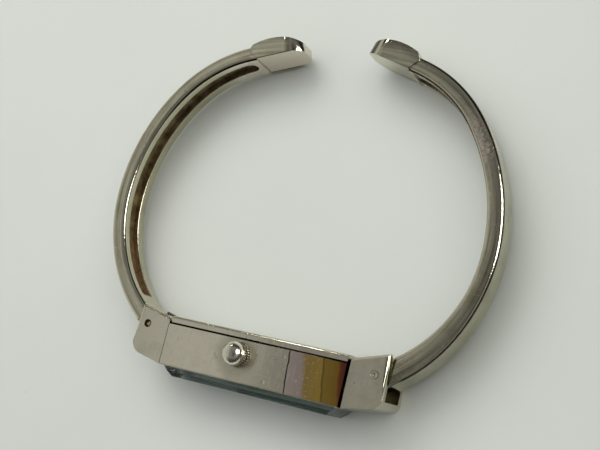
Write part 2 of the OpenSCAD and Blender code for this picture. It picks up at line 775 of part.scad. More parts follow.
// A link: two ears with a front wall and a web between them, and a boss against the case.
module link(near) {
    web_x = half_l + near + link_web;
    mouth = [[web_x, 9], [web_x, heel_rest], [web_x + heel_pad, heel_rest],
             [web_x + heel_pad, link_front_near + link_wall + 0.35],
             [link_end_x + 2, link_front_near + link_wall + 1.15], [link_end_x + 2, 9]];
    difference() {
        union() {
            linear_extrude(height = case_width) link_plan(near);
            block([half_l, -boss_half, boss_low], [half_l + near + eps, boss_half, case_width - boss_low]);
        }
        translate([0, 0, ear_depth]) linear_extrude(height = case_width - 2 * ear_depth) polygon(mouth);
        translate([pin_x, pin_y, -eps]) cylinder(h = case_width + 2 * eps, r = pin_radius + 0.03);
        translate([half_l - eps, 0, mid_z]) rotate([0, 90, 0])
            cylinder(h = link_web, r = link_screw_radius + thread_clear);
        // bevels along the back edges of both ears
        for (s = [0, 1]) translate([half_l + near, link_back_near, s * case_width])
            rotate([0, 0, atan2(link_back_far - link_back_near, link_end_x - 0.2 - half_l - near)])
                translate([3, 0, 0]) rotate([45, 0, 0])
                    cube([2 * link_end_x - 2 * half_l, link_bevel * sqrt(2), link_bevel * sqrt(2)], center = true);
    }
}
module upper_link() {
    color(steel) mirror([1, 0, 0]) link(upper_gap);
}
module lower_link() {
    color(steel) link(lower_gap);
}

link_screw_long = 2.2;
module link_screws() {
    color([0.60, 0.60, 0.62]) for (s = [0, 1]) mirror([s, 0, 0])
        translate([cavity_l, 0, mid_z]) rotate([0, 90, 0])
            screw(0, 0, 0, link_screw_long, link_screw_radius, link_screw_head, screw_head * 2);
}

// Hinge pins: the upper one sits deep in its hole, the lower one has a dimpled flush end.
pin_deep = 0.35;
dimple = 0.34;
module upper_pin() {
    color(brassy) translate([-pin_x, pin_y, 0.1]) cylinder(h = case_width - 0.1 - pin_deep, r = pin_radius);
}
module lower_pin() {
    color(steel) translate([pin_x, pin_y, 0]) difference() {
        translate([0, 0, 0.1]) cylinder(h = case_width - 0.12, r = pin_radius);
        translate([0, 0, case_width - pin_deep / 2]) cylinder(h = 1, r = dimple);
    }
}

// A close-wound spring round the pin, whose leg leans on the web of the link.
module spring(near) {
    r = spring_inner + spring_wire;
    z0 = mid_z - spring_pitch * (spring_turns - 1) / 2;
    translate([pin_x, pin_y, 0]) union() {
        for (i = [0 : spring_turns - 1]) translate([0, 0, z0 + i * spring_pitch])
            rotate_extrude() translate([r, 0]) circle(r = spring_wire);
        translate([0, -r, mid_z]) rotate([0, -90, 0])
            cylinder(h = pin_x - half_l - near - link_web - eps, r = spring_wire);
    }
}
module upper_spring() {
    color([0.45, 0.45, 0.47]) mirror([1, 0, 0]) spring(upper_gap);
}
module lower_spring() {
    color([0.45, 0.45, 0.47]) spring(lower_gap);
}

// Section of the outside of an arm as [radius, z], with both outer edges cut.
module outer_profile(r) {
    e = outer_edge;
    top = arm_low + arm_height;
    polygon([[r - root_band, arm_low], [r - e, arm_low], [r, arm_low + e], [r, top - e],
             [r - e, top], [r - root_band, top]]);
}

// Section of the space inside an arm, which flares at both edges to bevel them.
module inner_profile(r) {
    f = inner_edge;
    top = arm_low + arm_height;
    polygon([[r - root_band, arm_low - 1], [r + f + 1, arm_low - 1], [r, arm_low + f], [r, top - f],
             [r + f + 1, top + 1], [r - root_band, top + 1]]);
}

// The arm on the six o'clock side: its outside, less its inside, with pad, root, eye and heel.
module arm() {
    ri = [arc_r[0] - arm_depth, arc_r[1] - arm_depth, arc_r[2] - arm_depth];
    ge = c2 + ri[2] * groove_end;
    difference() {
        union() {
            difference() {
                union() {
                    ring_slice(c0, turns[0], turns[1]) outer_profile(arc_r[0]);
                    ring_slice(c1, turns[1], turns[2]) outer_profile(arc_r[1]);
                    ring_slice(c2, turns[2], arm_end) outer_profile(arc_r[2]);
                }
                ring_slice(ct, taper_start, taper_turn) inner_profile(taper_r);
                ring_slice(c0, taper_turn, turns[1]) inner_profile(ri[0]);
                ring_slice(c1, turns[1], turns[2]) inner_profile(ri[1]);
                ring_slice(c2, turns[2], arm_end + [-0.02, 0]) inner_profile(ri[2]);
            }
            pad();
            // straight root that carries the arm into the link, the eye and the heel
            translate(arm_start) rotate([0, 0, 90 + atan2(turns[0][1], turns[0][0])])
                translate([-root_back, 0, 0]) rotate([90, 0, 90])
                    linear_extrude(height = root_back) root_end();
            translate([pin_x, pin_y, arm_low]) cylinder(h = arm_height, r = eye_radius);
            translate([pin_x, pin_y, arm_low]) rotate([0, 0, heel_turn])
                block([0, -heel_half, 0], [heel_long, heel_half, arm_height]);
        }
        // groove along the inside, with a round end near the tip
        ring_slice(ct, groove_start, taper_turn) groove_profile(taper_r);
        ring_slice(c0, taper_turn, turns[1]) groove_profile(ri[0]);
        ring_slice(c1, turns[1], turns[2]) groove_profile(ri[1]);
        ring_slice(c2, turns[2], groove_end) groove_profile(ri[2]);
        translate([ge[0], ge[1], mid_z]) rotate([0, 0, atan2(groove_end[1], groove_end[0])]) rotate([0, 90, 0])
            translate([0, 0, -1]) cylinder(h = 1 + groove_depth, r = groove_height / 2);
        // bore for the pin and room for the spring between the knuckles
        translate([pin_x, pin_y, 0]) cylinder(h = case_width, r = pin_radius + thread_clear);
        translate([pin_x, pin_y, arm_low + knuckle])
            cylinder(h = arm_height - 2 * knuckle, r = spring_inner + 2 * spring_wire + spring_room);
        translate([pin_x, pin_y, arm_low + knuckle])
            block([-3, -spring_side, 0], [0, 3, arm_height - 2 * knuckle]);
    }
}

// Section of the groove.
module groove_profile(r) {
    translate([r - 1, mid_z - groove_height / 2]) square([groove_depth + 1, groove_height]);
}

// Section of the straight root.
module root_end() {
    e = outer_edge;
    top = arm_low + arm_height;
    polygon([[root_depth, arm_low], [e, arm_low], [0, arm_low + e], [0, top - e], [e, top],
             [root_depth, top]]);
}

// The pad at the tip: thicker than the arm, crowned outside, flat inside, with a round end.
module pad() {
    low = mid_z - pad_height / 2;
    end_r = pad_height / 2;
    reach = 2 * pad_height;
    intersection() {
        translate([tip[0], tip[1], low]) linear_extrude(height = pad_height) intersection() {
            polygon(pad_outline);
            translate(pad_crown) circle(r = pad_crown_r);
        }
        translate([tip[0] + pad_end[0], tip[1] + pad_end[1], mid_z]) rotate([0, 0, pad_head + 180]) union() {
            translate([end_r, end_r + 1, 0]) rotate([90, 0, 0]) cylinder(h = 2 * end_r + 2, r = end_r);
            translate([end_r, -end_r - 1, -end_r]) cube([reach, 2 * end_r + 2, pad_height]);
        }
    }
}
module upper_arm() {
    color(steel) mirror([1, 0, 0]) arm();
}
module lower_arm() {
    color(steel) arm();
}

case_body();
case_back();
back_gasket();
crystal();
crystal_gasket();
dial();
hour_markers();
minute_hand();
hour_hand();
movement_holder();
main_plate();
train_bridge();
movement_screws();
battery();
battery_insulator();
battery_strap();
circuit_board();
quartz_can();
control_chip();
coil_core();
coil_winding();
stator();
rotor();
rotor_pinion();
intermediate_wheel();
third_wheel();
centre_wheel();
cannon_pinion();
minute_wheel();
hour_wheel();
setting_wheel();
setting_lever();
crown();
crown_tube();
crown_gasket();
stem();
sliding_pinion();
upper_link();
lower_link();
link_screws();
upper_pin();
lower_pin();
upper_spring();
lower_spring();
upper_arm();
lower_arm();
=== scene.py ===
# %% [markdown]
# # A slim bangle watch
#
# The watch is a narrow metal case between two stiff half bangles. Each half bangle, or arm, hangs on a
# pin in a forked link at the end of the case and is held shut by a small spring. It lies on its side
# with the crown up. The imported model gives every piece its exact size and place. Here the pieces that
# show get soft edges, smooth curves and worn metal.

import math

import bmesh
import bpy
from mathutils import Matrix, Vector


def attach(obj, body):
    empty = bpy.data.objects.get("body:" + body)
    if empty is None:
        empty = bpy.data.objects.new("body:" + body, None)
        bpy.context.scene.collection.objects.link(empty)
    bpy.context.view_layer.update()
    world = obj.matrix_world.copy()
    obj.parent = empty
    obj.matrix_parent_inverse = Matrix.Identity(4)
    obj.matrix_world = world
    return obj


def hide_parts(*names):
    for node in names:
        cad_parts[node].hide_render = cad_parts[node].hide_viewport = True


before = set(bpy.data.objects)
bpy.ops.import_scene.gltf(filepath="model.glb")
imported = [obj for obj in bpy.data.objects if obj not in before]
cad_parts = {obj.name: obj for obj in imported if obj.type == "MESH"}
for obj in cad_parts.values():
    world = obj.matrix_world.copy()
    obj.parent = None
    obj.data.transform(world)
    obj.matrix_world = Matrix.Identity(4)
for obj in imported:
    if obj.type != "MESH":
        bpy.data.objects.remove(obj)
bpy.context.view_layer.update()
MM = 0.001

# %% [markdown]
# ## The camera
#
# A camera can be placed by eye, or worked out from straight edges. The long edges of the case run to
# vanishing points, so the second way is exact: it gives the place, the lens and the three directions
# of the camera. They go straight into its matrix.

# %% Place the camera
camera_data = bpy.data.cameras.new("camera")
camera = bpy.data.objects.new("camera", camera_data)
bpy.context.scene.collection.objects.link(camera)
bpy.context.scene.camera = camera
right_of_view = Vector((0.89287, 0.23607, -0.38348))
up_of_view = Vector((-0.14913, 0.95854, 0.24283))
back_of_view = Vector((0.42491, -0.15963, 0.89105))
camera_place = Vector((0.06881, -0.00275, 0.14827))
camera_turn = Matrix((right_of_view, up_of_view, back_of_view)).transposed()
camera.matrix_world = Matrix.Translation(camera_place) @ camera_turn.to_4x4()
camera_data.sensor_width = 36
camera_data.lens = 61.07
camera_data.clip_start = 0.01
camera_data.clip_end = 20
bpy.context.scene.view_settings.view_transform = "Standard"
print("lens:", camera_data.lens, "mm")

# %% [markdown]
# ## Small helpers for modelling
#
# An operator acts on all that is selected, so each piece starts with nothing selected. Inside edit
# mode the faces and edges to work on are picked by a rule on their place, which keeps the choice the
# same each time. All helpers take millimetres.

# %% Helpers: select a piece and pick parts of it
def clear_selection():
    if bpy.context.object and bpy.context.object.mode != "OBJECT":
        bpy.ops.object.mode_set(mode="OBJECT")
    bpy.ops.object.select_all(action="DESELECT")


def only(piece):
    clear_selection()
    piece.select_set(True)
    bpy.context.view_layer.objects.active = piece
    return piece


def settle(piece):
    """Puts the piece's place into its mesh, so that its object sits at the origin."""
    only(piece)
    bpy.ops.object.transform_apply(location=True, rotation=True, scale=True)
    return piece


def grab(piece):
    """Enters edit mode with all of the piece selected."""
    only(piece)
    bpy.ops.object.mode_set(mode="EDIT")
    bpy.ops.mesh.select_all(action="SELECT")


def pick(piece, kind, rule):
    """Enters edit mode and selects the vertices, edges or faces for which the rule holds."""
    grab(piece)
    bpy.ops.mesh.select_mode(type=kind)
    bpy.ops.mesh.select_all(action="DESELECT")
    mesh = bmesh.from_edit_mesh(piece.data)
    found = {"VERT": mesh.verts, "EDGE": mesh.edges, "FACE": mesh.faces}[kind]
    chosen = [part for part in found if rule(part)]
    for part in chosen:
        part.select_set(True)
    mesh.select_flush_mode()
    bmesh.update_edit_mesh(piece.data)
    return len(chosen)


def done():
    bpy.ops.object.mode_set(mode="OBJECT")


def middle(part):
    return sum((v.co for v in part.verts), Vector()) / len(part.verts) / MM


def span(edge):
    """How far an edge runs along X, Y and Z."""
    return Vector(abs(a - b) for a, b in zip(edge.verts[0].co, edge.verts[1].co)) / MM


# %% Helpers: start with a block or a rod, cut it, round its edges
def box(name, low, high):
    """A block between two corners."""
    clear_selection()
    low, high = Vector(low), Vector(high)
    bpy.ops.mesh.primitive_cube_add(size=1, location=(low + high) / 2 * MM)
    piece = bpy.context.object
    piece.name, piece.scale = name, (high - low) * MM
    return settle(piece)


def rod(name, centre, radius, height, sides=64, turn=(0, 0, 0)):
    """A cylinder whose middle is at the centre."""
    clear_selection()
    bpy.ops.mesh.primitive_cylinder_add(vertices=sides, radius=radius * MM, depth=height * MM,
                                        location=Vector(centre) * MM, rotation=turn)
    bpy.context.object.name = name
    return settle(bpy.context.object)


def combine(piece, tool, how):
    """Joins or trims the piece with the tool and removes the tool."""
    step = piece.modifiers.new("combine", "BOOLEAN")
    step.object, step.operation, step.solver = tool, how, "EXACT"
    only(piece)
    bpy.ops.object.modifier_apply(modifier=step.name)
    bpy.data.objects.remove(tool)
    return piece


def cut(piece, tool):
    return combine(piece, tool, "DIFFERENCE")


def lift(height):
    """Draws the selected faces up."""
    bpy.ops.mesh.extrude_region_move(TRANSFORM_OT_translate={"value": (0, 0, height * MM)})


def bevel(piece, rule, width, segments):
    """Bevels the edges for which the rule holds."""
    pick(piece, "EDGE", rule)
    bpy.ops.mesh.bevel(offset=width * MM, segments=segments)
    done()


def shade(piece, smooth=35):
    """Smooth shading in which the large faces stay truly flat."""
    only(piece)
    bpy.ops.object.shade_smooth_by_angle(angle=math.radians(smooth))
    step = piece.modifiers.new("flat faces", "WEIGHTED_NORMAL")
    step.keep_sharp = True
    bpy.ops.object.modifier_apply(modifier=step.name)
    return piece


def soften(piece, width, angle, segments, smooth=35):
    """Rounds every edge that is sharper than the angle and shades the rest smooth."""
    grab(piece)
    bpy.ops.mesh.remove_doubles(threshold=0.002 * MM)
    bpy.ops.mesh.normals_make_consistent(inside=False)
    done()
    step = piece.modifiers.new("soft edge", "BEVEL")
    step.width, step.segments, step.limit_method = width * MM, segments, "ANGLE"
    step.angle_limit, step.harden_normals = math.radians(angle), False
    bpy.ops.object.modifier_apply(modifier=step.name)
    return shade(piece, smooth)


# %% Helper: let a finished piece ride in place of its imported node
def hand_in(piece, body, node):
    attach(piece, body)
    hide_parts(node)
    points = [v.co / MM for v in piece.data.vertices]
    size = [round(max(p[i] for p in points) - min(p[i] for p in points), 2) for i in range(3)]
    print(piece.name, "faces", len(piece.data.polygons), "size mm", size)


# %% [markdown]
# ## The arms: a section swept along three arcs
#
# Each arm is a flat steel bar bent to three arcs that run into each other. It could be drawn as a
# curve with a bevel, but spinning the real section about the real centres keeps the curve round and
# the thickness even. The section is a rectangle with round corners, the outer ones a little larger.

# %% Sizes of the arm, taken from the construction, in millimetres
MID = 4.5
ARM_HEIGHT, ARM_DEPTH = 6.2, 2.6
OUTER_ROUND, INNER_ROUND = 0.68, 0.52
START, TURN = -53.1301, 36.8699
pin = Vector((19.6, 2.45))
arm_start = Vector((22.735, 2.632))
arcs = [  # centre, outer radius, angle in degrees at which it starts, angle that it covers
    (Vector((7.015, 23.592)), 26.2, START, -START),
    (Vector((1.715, 23.592)), 31.5, 0, TURN),
    (Vector((8.035, 28.332)), 23.6, TURN, 38.6),
]


def direction(degrees):
    return Vector((math.cos(math.radians(degrees)), math.sin(math.radians(degrees))))


def flat(point, z=MID):
    return Vector((point.x, point.y, z))


def polar(point, centre):
    """The ray from a centre to a point, seen from above, and its angle in degrees."""
    ray = point.to_2d() - centre
    return ray, math.degrees(math.atan2(ray.y, ray.x))


def section(name, centre, radius, angle, depth, height):
    """A rectangle that stands on the ray from the centre at the angle, outer side at the radius."""
    clear_selection()
    place = flat(centre + direction(angle) * (radius - depth / 2))
    bpy.ops.mesh.primitive_plane_add(size=1, location=place * MM,
                                     rotation=(math.pi / 2, 0, math.radians(angle)))
    piece = bpy.context.object
    piece.name, piece.scale = name, (depth * MM, height * MM, 1)
    return settle(piece)


def sweep(centre, degrees, step=1.6):
    """Spins what is selected about the centre; a positive angle goes anticlockwise from above."""
    bpy.ops.mesh.spin(steps=max(2, round(abs(degrees) / step)), angle=-math.radians(degrees),
                      center=flat(centre) * MM, axis=(0, 0, 1))


# %% Sweep the bar of one arm
def bar():
    centre, radius, angle, _ = arcs[0]
    half_way = radius - ARM_DEPTH / 2
    piece = section("bar", centre, radius, angle, ARM_DEPTH, ARM_HEIGHT)
    pick(piece, "VERT", lambda v: polar(v.co / MM, centre)[0].length > half_way)
    bpy.ops.mesh.bevel(offset=OUTER_ROUND * MM, affect="VERTICES", segments=7, profile=0.5)
    pick(piece, "VERT", lambda v: polar(v.co / MM, centre)[0].length < half_way)
    bpy.ops.mesh.bevel(offset=INNER_ROUND * MM, affect="VERTICES", segments=5, profile=0.5)
    bpy.ops.mesh.select_all(action="SELECT")
    for centre, _, _, cover in arcs:
        sweep(centre, cover)
    done()
    return piece


# %% [markdown]
# The first stretch grows thicker towards the hinge: inside, its curve has a tighter radius than the
# rest. The inner corners of each station there are moved in by the difference of the two arcs.

# %% Thicken the bar towards the hinge
TAPER_RADIUS = 18.5
taper_centre = arcs[0][0] + (arcs[0][1] - ARM_DEPTH - TAPER_RADIUS) * direction(-TURN)


def thicken(piece):
    centre, radius = arcs[0][:2]
    inner_radius = radius - ARM_DEPTH
    offset = centre - taper_centre
    for vertex in piece.data.vertices:
        ray, angle = polar(vertex.co / MM, centre)
        if ray.length < inner_radius + INNER_ROUND + 0.08 and angle < -TURN:
            along = ray.normalized()
            half = offset.dot(along)
            inside = -half + math.sqrt(half * half - offset.length_squared + TAPER_RADIUS ** 2)
            moved = centre + along * (ray.length - inner_radius + inside)
            vertex.co.x, vertex.co.y = moved.x * MM, moved.y * MM


# %% [markdown]
# No two bangles of this kind stay alike. The six o'clock arm is stouter near its hinge and its tip has
# been bent up a little. Both are small moves of the vertices that fade out along the arm.

# %% Make an arm stouter at the root, or bend its tip
def fade(value, start, end):
    share = min(1, max(0, (value - start) / (end - start)))
    return share * share * (3 - 2 * share)


def stouten(piece, outwards, inwards):
    centre, radius = arcs[0][:2]
    for vertex in piece.data.vertices:
        ray, angle = polar(vertex.co / MM, centre)
        if angle < 0:
            move = outwards if ray.length > radius - 1.2 else -inwards
            offset = ray.normalized() * move * fade(-angle, 12, 50) * MM
            vertex.co.x, vertex.co.y = vertex.co.x + offset.x, vertex.co.y + offset.y


def bend_tip(piece, rise):
    for vertex in piece.data.vertices:
        vertex.co.y += rise * MM * fade(vertex.co.y / MM, 33, 52)


# %% [markdown]
# ## The pad at the tip
#
# The tip is a thicker pad: crowned outside, flat inside, round at its end. A wide cylinder already
# has the crown, so it is cut down by straight planes and then trimmed by a rounded block.

# %% Make the pad
PAD_HEIGHT = 6.6
PAD_CROWN_RADIUS = 10.7
PAD_HEAD = 163.6
tip = arcs[2][0] + arcs[2][1] * Vector((0.28, 0.96))
pad_corners = [tip + Vector(p) for p in
               ((0.257, -0.588), (-1.243, -2.088), (-8.993, 0.362), (-7.943, 3.212), (-1.543, 3.212))]
pad_crown = tip + Vector((-6.043, -8.238))
pad_end = tip + Vector((-9.343, 0.512))


def placed(piece, point, degrees):
    """Moves a piece that was made round the origin to a point, turned by an angle."""
    piece.matrix_world = Matrix.Translation(flat(point) * MM) @ Matrix.Rotation(math.radians(degrees), 4, "Z")
    return settle(piece)


def bisect(piece, point, outward):
    """Cuts away what lies on the outward side of an upright plane and closes the cut."""
    grab(piece)
    bpy.ops.mesh.bisect(plane_co=flat(point) * MM, plane_no=(outward.x, outward.y, 0),
                        use_fill=True, clear_outer=True)
    done()


def pad(lower):
    crown = pad_crown - direction(PAD_HEAD - 90) * lower
    piece = rod("pad", flat(crown), PAD_CROWN_RADIUS, PAD_HEIGHT, sides=220)
    for a, b in zip(pad_corners, pad_corners[1:] + pad_corners[:1]):
        along = (b - a).normalized()
        bisect(piece, a, Vector((-along.y, along.x)))
    half = PAD_HEIGHT / 2
    end = pad_end + direction(PAD_HEAD + 180) * half
    round_end = rod("round end", flat(end), half, 9, sides=96, turn=(math.pi / 2, 0, math.radians(PAD_HEAD)))
    rest = placed(box("rest", (0, -4.5, -half), (14, 4.5, half)), end, PAD_HEAD + 180)
    combine(round_end, rest, "UNION")
    return combine(piece, round_end, "INTERSECT")


# %% [markdown]
# ## The groove
#
# The groove along the inside is cut with a second, smaller sweep about the same centres, and a rod
# gives it its round end. Its rims were broken by the polishing, so they get a fine bevel of their own.

# %% Make the cutter of the groove
GROOVE_HEIGHT, GROOVE_DEPTH, GROOVE_MID = 2.6, 0.9, 4.7
GROOVE_START, GROOVE_END = -47.0, 69.3904
inner_radii = [radius - ARM_DEPTH for _, radius, _, _ in arcs]
groove_arcs = [  # centre, inner radius of the arm there, start and cover in degrees
    (taper_centre, TAPER_RADIUS, GROOVE_START, -TURN - GROOVE_START),
    (arcs[0][0], inner_radii[0], -TURN, TURN),
    (arcs[1][0], inner_radii[1], 0, TURN),
    (arcs[2][0], inner_radii[2], TURN, GROOVE_END - TURN),
]


def groove_cutter():
    centre, radius, angle, _ = groove_arcs[0]
    piece = section("groove", centre, radius + GROOVE_DEPTH, angle, GROOVE_DEPTH + 1, GROOVE_HEIGHT)
    grab(piece)
    for centre, radius, angle, cover in groove_arcs:
        sweep(centre, cover)
    done()
    end = angle + cover
    round_end = rod("round", flat(centre + direction(end) * (radius + GROOVE_DEPTH / 2 - 0.5)),
                    GROOVE_HEIGHT / 2, GROOVE_DEPTH + 1, sides=48,
                    turn=(math.pi / 2, 0, math.radians(end + 90)))
    combine(piece, round_end, "UNION")
    piece.location.z = (GROOVE_MID - MID) * MM
    return settle(piece)


def groove_depth_at(point):
    """How deep a point of the arm lies in the groove's course; None beside it."""
    point = Vector((abs(point.x), point.y))
    for centre, radius, angle, cover in groove_arcs:
        ray, turn = polar(point, centre)
        if angle - 1 < turn < angle + cover + 4 and abs(ray.length - radius) < GROOVE_DEPTH + 0.7:
            return ray.length - radius
    return None


def on_groove_rim(edge):
    point = middle(edge)
    depth = groove_depth_at(point)
    return depth is not None and depth < 0.3 and abs(abs(point.z - GROOVE_MID) - GROOVE_HEIGHT / 2) < 0.01


# %% [markdown]
# ## The finished arm
#
# At the hinge the bar runs straight into the link and ends in an eye for the pin, with a heel that
# rests on the link. A slot in the eye makes room for the spring. The arm is built once more for the
# other side and mirrored, which turns its faces inside out, so they are turned out again.

# %% Make the straight root
HALF_ARM = ARM_HEIGHT / 2


def root(outwards, inwards):
    block = box("root", (-2.6, -outwards, -HALF_ARM), (0.02, 2.8 + inwards, HALF_ARM))
    piece = placed(block, arm_start, TURN)
    bevel(piece, lambda e: abs(middle(e).z - MID) > HALF_ARM - 0.01 and span(e).z < 1e-4 and
          span(e).length > 2 and
          (middle(e).to_2d() - arm_start).dot(direction(START)) > outwards - 0.01, 0.3, 4)
    return piece


# %% Join bar, pad, root, eye and heel, and cut groove and bore
EYE_RADIUS, BORE_RADIUS = 1.65, 0.62
SPRING_RADIUS, SPRING_ROOM = 1.18, 2.7


def arm(name, stout, pad_lower, tip_rise):
    piece = bar()
    thicken(piece)
    stouten(piece, *stout)
    eye = rod("eye", flat(pin), EYE_RADIUS, ARM_HEIGHT, sides=96)
    heel = placed(box("heel", (0, -0.8, -HALF_ARM), (2.1, 0.8, HALF_ARM)), pin, 205)
    for extra in (pad(pad_lower), root(*stout), eye, heel):
        combine(piece, extra, "UNION")
    cut(piece, groove_cutter())
    bevel(piece, on_groove_rim, 0.16, 4)
    cut(piece, rod("bore", flat(pin), BORE_RADIUS, 9))
    cut(piece, rod("spring room", flat(pin), SPRING_RADIUS, SPRING_ROOM, sides=72))
    cut(piece, box("open side", (pin.x - 3, pin.y - 1.45, MID - SPRING_ROOM / 2),
                   (pin.x, pin.y + 3, MID + SPRING_ROOM / 2)))
    bend_tip(piece, tip_rise)
    piece.name = name
    return soften(piece, 0.07, angle=24, segments=2)


# %% Make both arms
def mirror(piece):
    """Mirrors a piece to the twelve o'clock side and turns its faces outwards again."""
    only(piece)
    bpy.ops.transform.resize(value=(-1, 1, 1), center_override=(0, 0, 0))
    settle(piece)
    grab(piece)
    bpy.ops.mesh.normals_make_consistent(inside=False)
    done()
    return shade(piece)


lower_half = arm("six_half_bangle", stout=(0.42, 0.35), pad_lower=0.1, tip_rise=0.6)
upper_half = mirror(arm("twelve_half_bangle", stout=(0.0, 0.0), pad_lower=0.45, tip_rise=0.0))
hand_in(lower_half, "lower_arm", "lower_arm")
hand_in(upper_half, "upper_arm", "upper_arm")

# %% [markdown]
# ## The links
#
# A link is a forked block: two ears hold the pin, a front wall and a web join them. It starts as a
# block, is cut to its plan by upright planes, and gets a mouth between the ears. The upright front
# corner is round, the back edges are cut at an angle and the far ends are rolled over softly.

# %% Cut the plan of a link for the six o'clock side and round its edges
HEIGHT = 9
CASE_LEFT, CASE_RIGHT, HALF_CASE = -15.7, 15.1, 15.4
LINK_FRONT, LINK_BACK, LINK_END = -3.3, 4.15, 21.5
CORNER, CORNER_RADIUS, END_FACING = Vector((20.1, -1.0)), 1.35, Vector((1, 0.0833))


def on_cap(edge):
    return abs(middle(edge).z - MID) > HEIGHT / 2 - 0.1


def at_end(edge):
    return middle(edge).x > LINK_END - 0.5


def link_block(name, near, back_far, corner):
    piece = box(name, (near, LINK_FRONT, 0), (LINK_END, back_far, HEIGHT))
    near_back, near_front = Vector((near, LINK_BACK)), Vector((near, LINK_FRONT))
    back = (Vector((LINK_END - 0.25, back_far)) - near_back).normalized()
    bisect(piece, near_back, Vector((-back.y, back.x)))
    bisect(piece, Vector((LINK_END, pin.y)), END_FACING)
    reach = CORNER - near_front
    front = direction(math.degrees(math.atan2(reach.y, reach.x) - math.asin(CORNER_RADIUS / reach.length)))
    bisect(piece, near_front, Vector((front.y, -front.x)))
    bevel(piece, lambda e: at_end(e) and middle(e).y < 0 and span(e).z > 5, corner, 12)
    bevel(piece, lambda e: middle(e).y > 3.9 and on_cap(e) and span(e).x > 3, 0.38, 1)
    bevel(piece, lambda e: at_end(e) and middle(e).y > 0 and on_cap(e) and span(e).y > 1, 0.6, 6)
    return piece


# %% Give it a mouth, a boss and its holes
EAR = (HEIGHT - ARM_HEIGHT) / 2 - 0.06
LINK_GAP, WEB = 0.34, 1.5
SCREW_RADIUS, LEVEL = 0.46, (0, math.pi / 2, 0)


def link(name, near, back_far, corner):
    piece = link_block(name, near, back_far, corner)
    web = HALF_CASE + LINK_GAP + WEB
    mouth = box("mouth", (web, LINK_FRONT, EAR), (LINK_END + 2, 9, HEIGHT - EAR))
    bisect(mouth, Vector((web + 1.05, -1.4)), Vector((0.137, -0.99)))
    cut(mouth, box("step", (web - 1, -4, EAR - 1), (web + 1.05, 0.75, 9)))
    cut(piece, mouth)
    cut(piece, rod("pin hole", flat(pin), 0.63, 11))
    combine(piece, box("boss", (min(near, HALF_CASE) - 0.01, -1.5, 2.5), (near + 0.05, 1.5, 6.5)), "UNION")
    cut(piece, rod("screw hole", (near + 0.4, 0, MID), SCREW_RADIUS, 1.7, turn=LEVEL))
    return soften(piece, 0.07, angle=30, segments=3)


six_link = link("six_fork", CASE_RIGHT + 0.5, 5.95, 1.25)
twelve_link = mirror(link("twelve_fork", -CASE_LEFT + 0.07, 5.45, 1.7))
hand_in(six_link, "case", "lower_link")
hand_in(twelve_link, "case", "upper_link")

# %% [markdown]
# ## The hinge pins
#
# A pin is a turned rod. The one at six o'clock ends flush and has a small centre mark; the one at
# twelve o'clock sits deeper in its hole and is coloured dark and mottled round a bright brass centre.

# %% Turn the two pins
PIN_RADIUS = 0.6


def hinge_pin(name, side, top, ring, step):
    centre = Vector((side * pin.x, pin.y))
    piece = rod(name, flat(centre, (0.1 + top) / 2), PIN_RADIUS, top - 0.1)
    pick(piece, "FACE", lambda f: f.normal.z > 0.9)
    bpy.ops.mesh.inset(thickness=ring * MM, depth=0)
    lift(step)
    done()
    return soften(piece, 0.03, angle=40, segments=2)


six_pin = hinge_pin("six_pin", 1, top=8.96, ring=0.34, step=-0.15)
twelve_pin = hinge_pin("twelve_pin", -1, top=8.3, ring=0.27, step=0.3)
hand_in(six_pin, "lower_arm", "lower_pin")
hand_in(twelve_pin, "upper_arm", "upper_pin")

# %% [markdown]
# ## The crown
#
# The crown is turned on a lathe: two tiers, a groove between them and a dome. A disc is extruded and
# scaled step by step, as the cutter would move. The grip comes last: every fourth upright line of a
# tier is pulled deep towards the axis and its neighbours a little, which leaves round ribs between
# the notches.

# %% Turn the crown
crown_axis = Vector((-2.4, 0.85))
CROWN_BASE = 9.1
SIDES = 120
FOOT, DOME_RADIUS = (0.0, 1.95), 1.85
STEPS = [  # height above the base and radius, from the base upwards
    (0.04, 2.0), (0.66, 2.0), (0.7, 1.95), (0.7, 1.70), (0.9, 1.70), (0.9, 1.85),
    (0.94, 1.9), (1.56, 1.9), (1.6, 1.87)]
DOME_FOOT = STEPS[-1][0]
dome = [(DOME_FOOT + DOME_RADIUS * math.sin(math.radians(a)), DOME_RADIUS * math.cos(math.radians(a)))
        for a in range(4, 90, 6)]


def scale_round_axis(scale):
    bpy.ops.transform.resize(value=(scale, scale, 1),
                             center_override=(crown_axis.x * MM, crown_axis.y * MM, 0))


clear_selection()
bpy.ops.mesh.primitive_circle_add(vertices=SIDES, radius=FOOT[1] * MM, fill_type="NGON",
                                  location=flat(crown_axis, CROWN_BASE) * MM)
winder = bpy.context.object
winder.name = "winder"
settle(winder)
pick(winder, "FACE", lambda f: True)
profile = [FOOT] + STEPS + dome
for (height_before, radius_before), (height, radius) in zip(profile, profile[1:]):
    lift(height - height_before)
    scale_round_axis(radius / radius_before)
done()
print("crown turned in", len(profile) - 1, "steps")

# %% Cut the grip into both tiers and hollow the crown from below
NOTCH, SHOULDER = 0.09, 0.022


def on_line(vertex, low, high, limit, lines):
    """Whether a vertex lies on the outside of a tier, on certain ones of each four upright lines."""
    ray, angle = polar(vertex.co / MM, crown_axis)
    return (low < vertex.co.z / MM - CROWN_BASE < high and ray.length > limit and
            round(angle * SIDES / 360) % SIDES % 4 in lines)


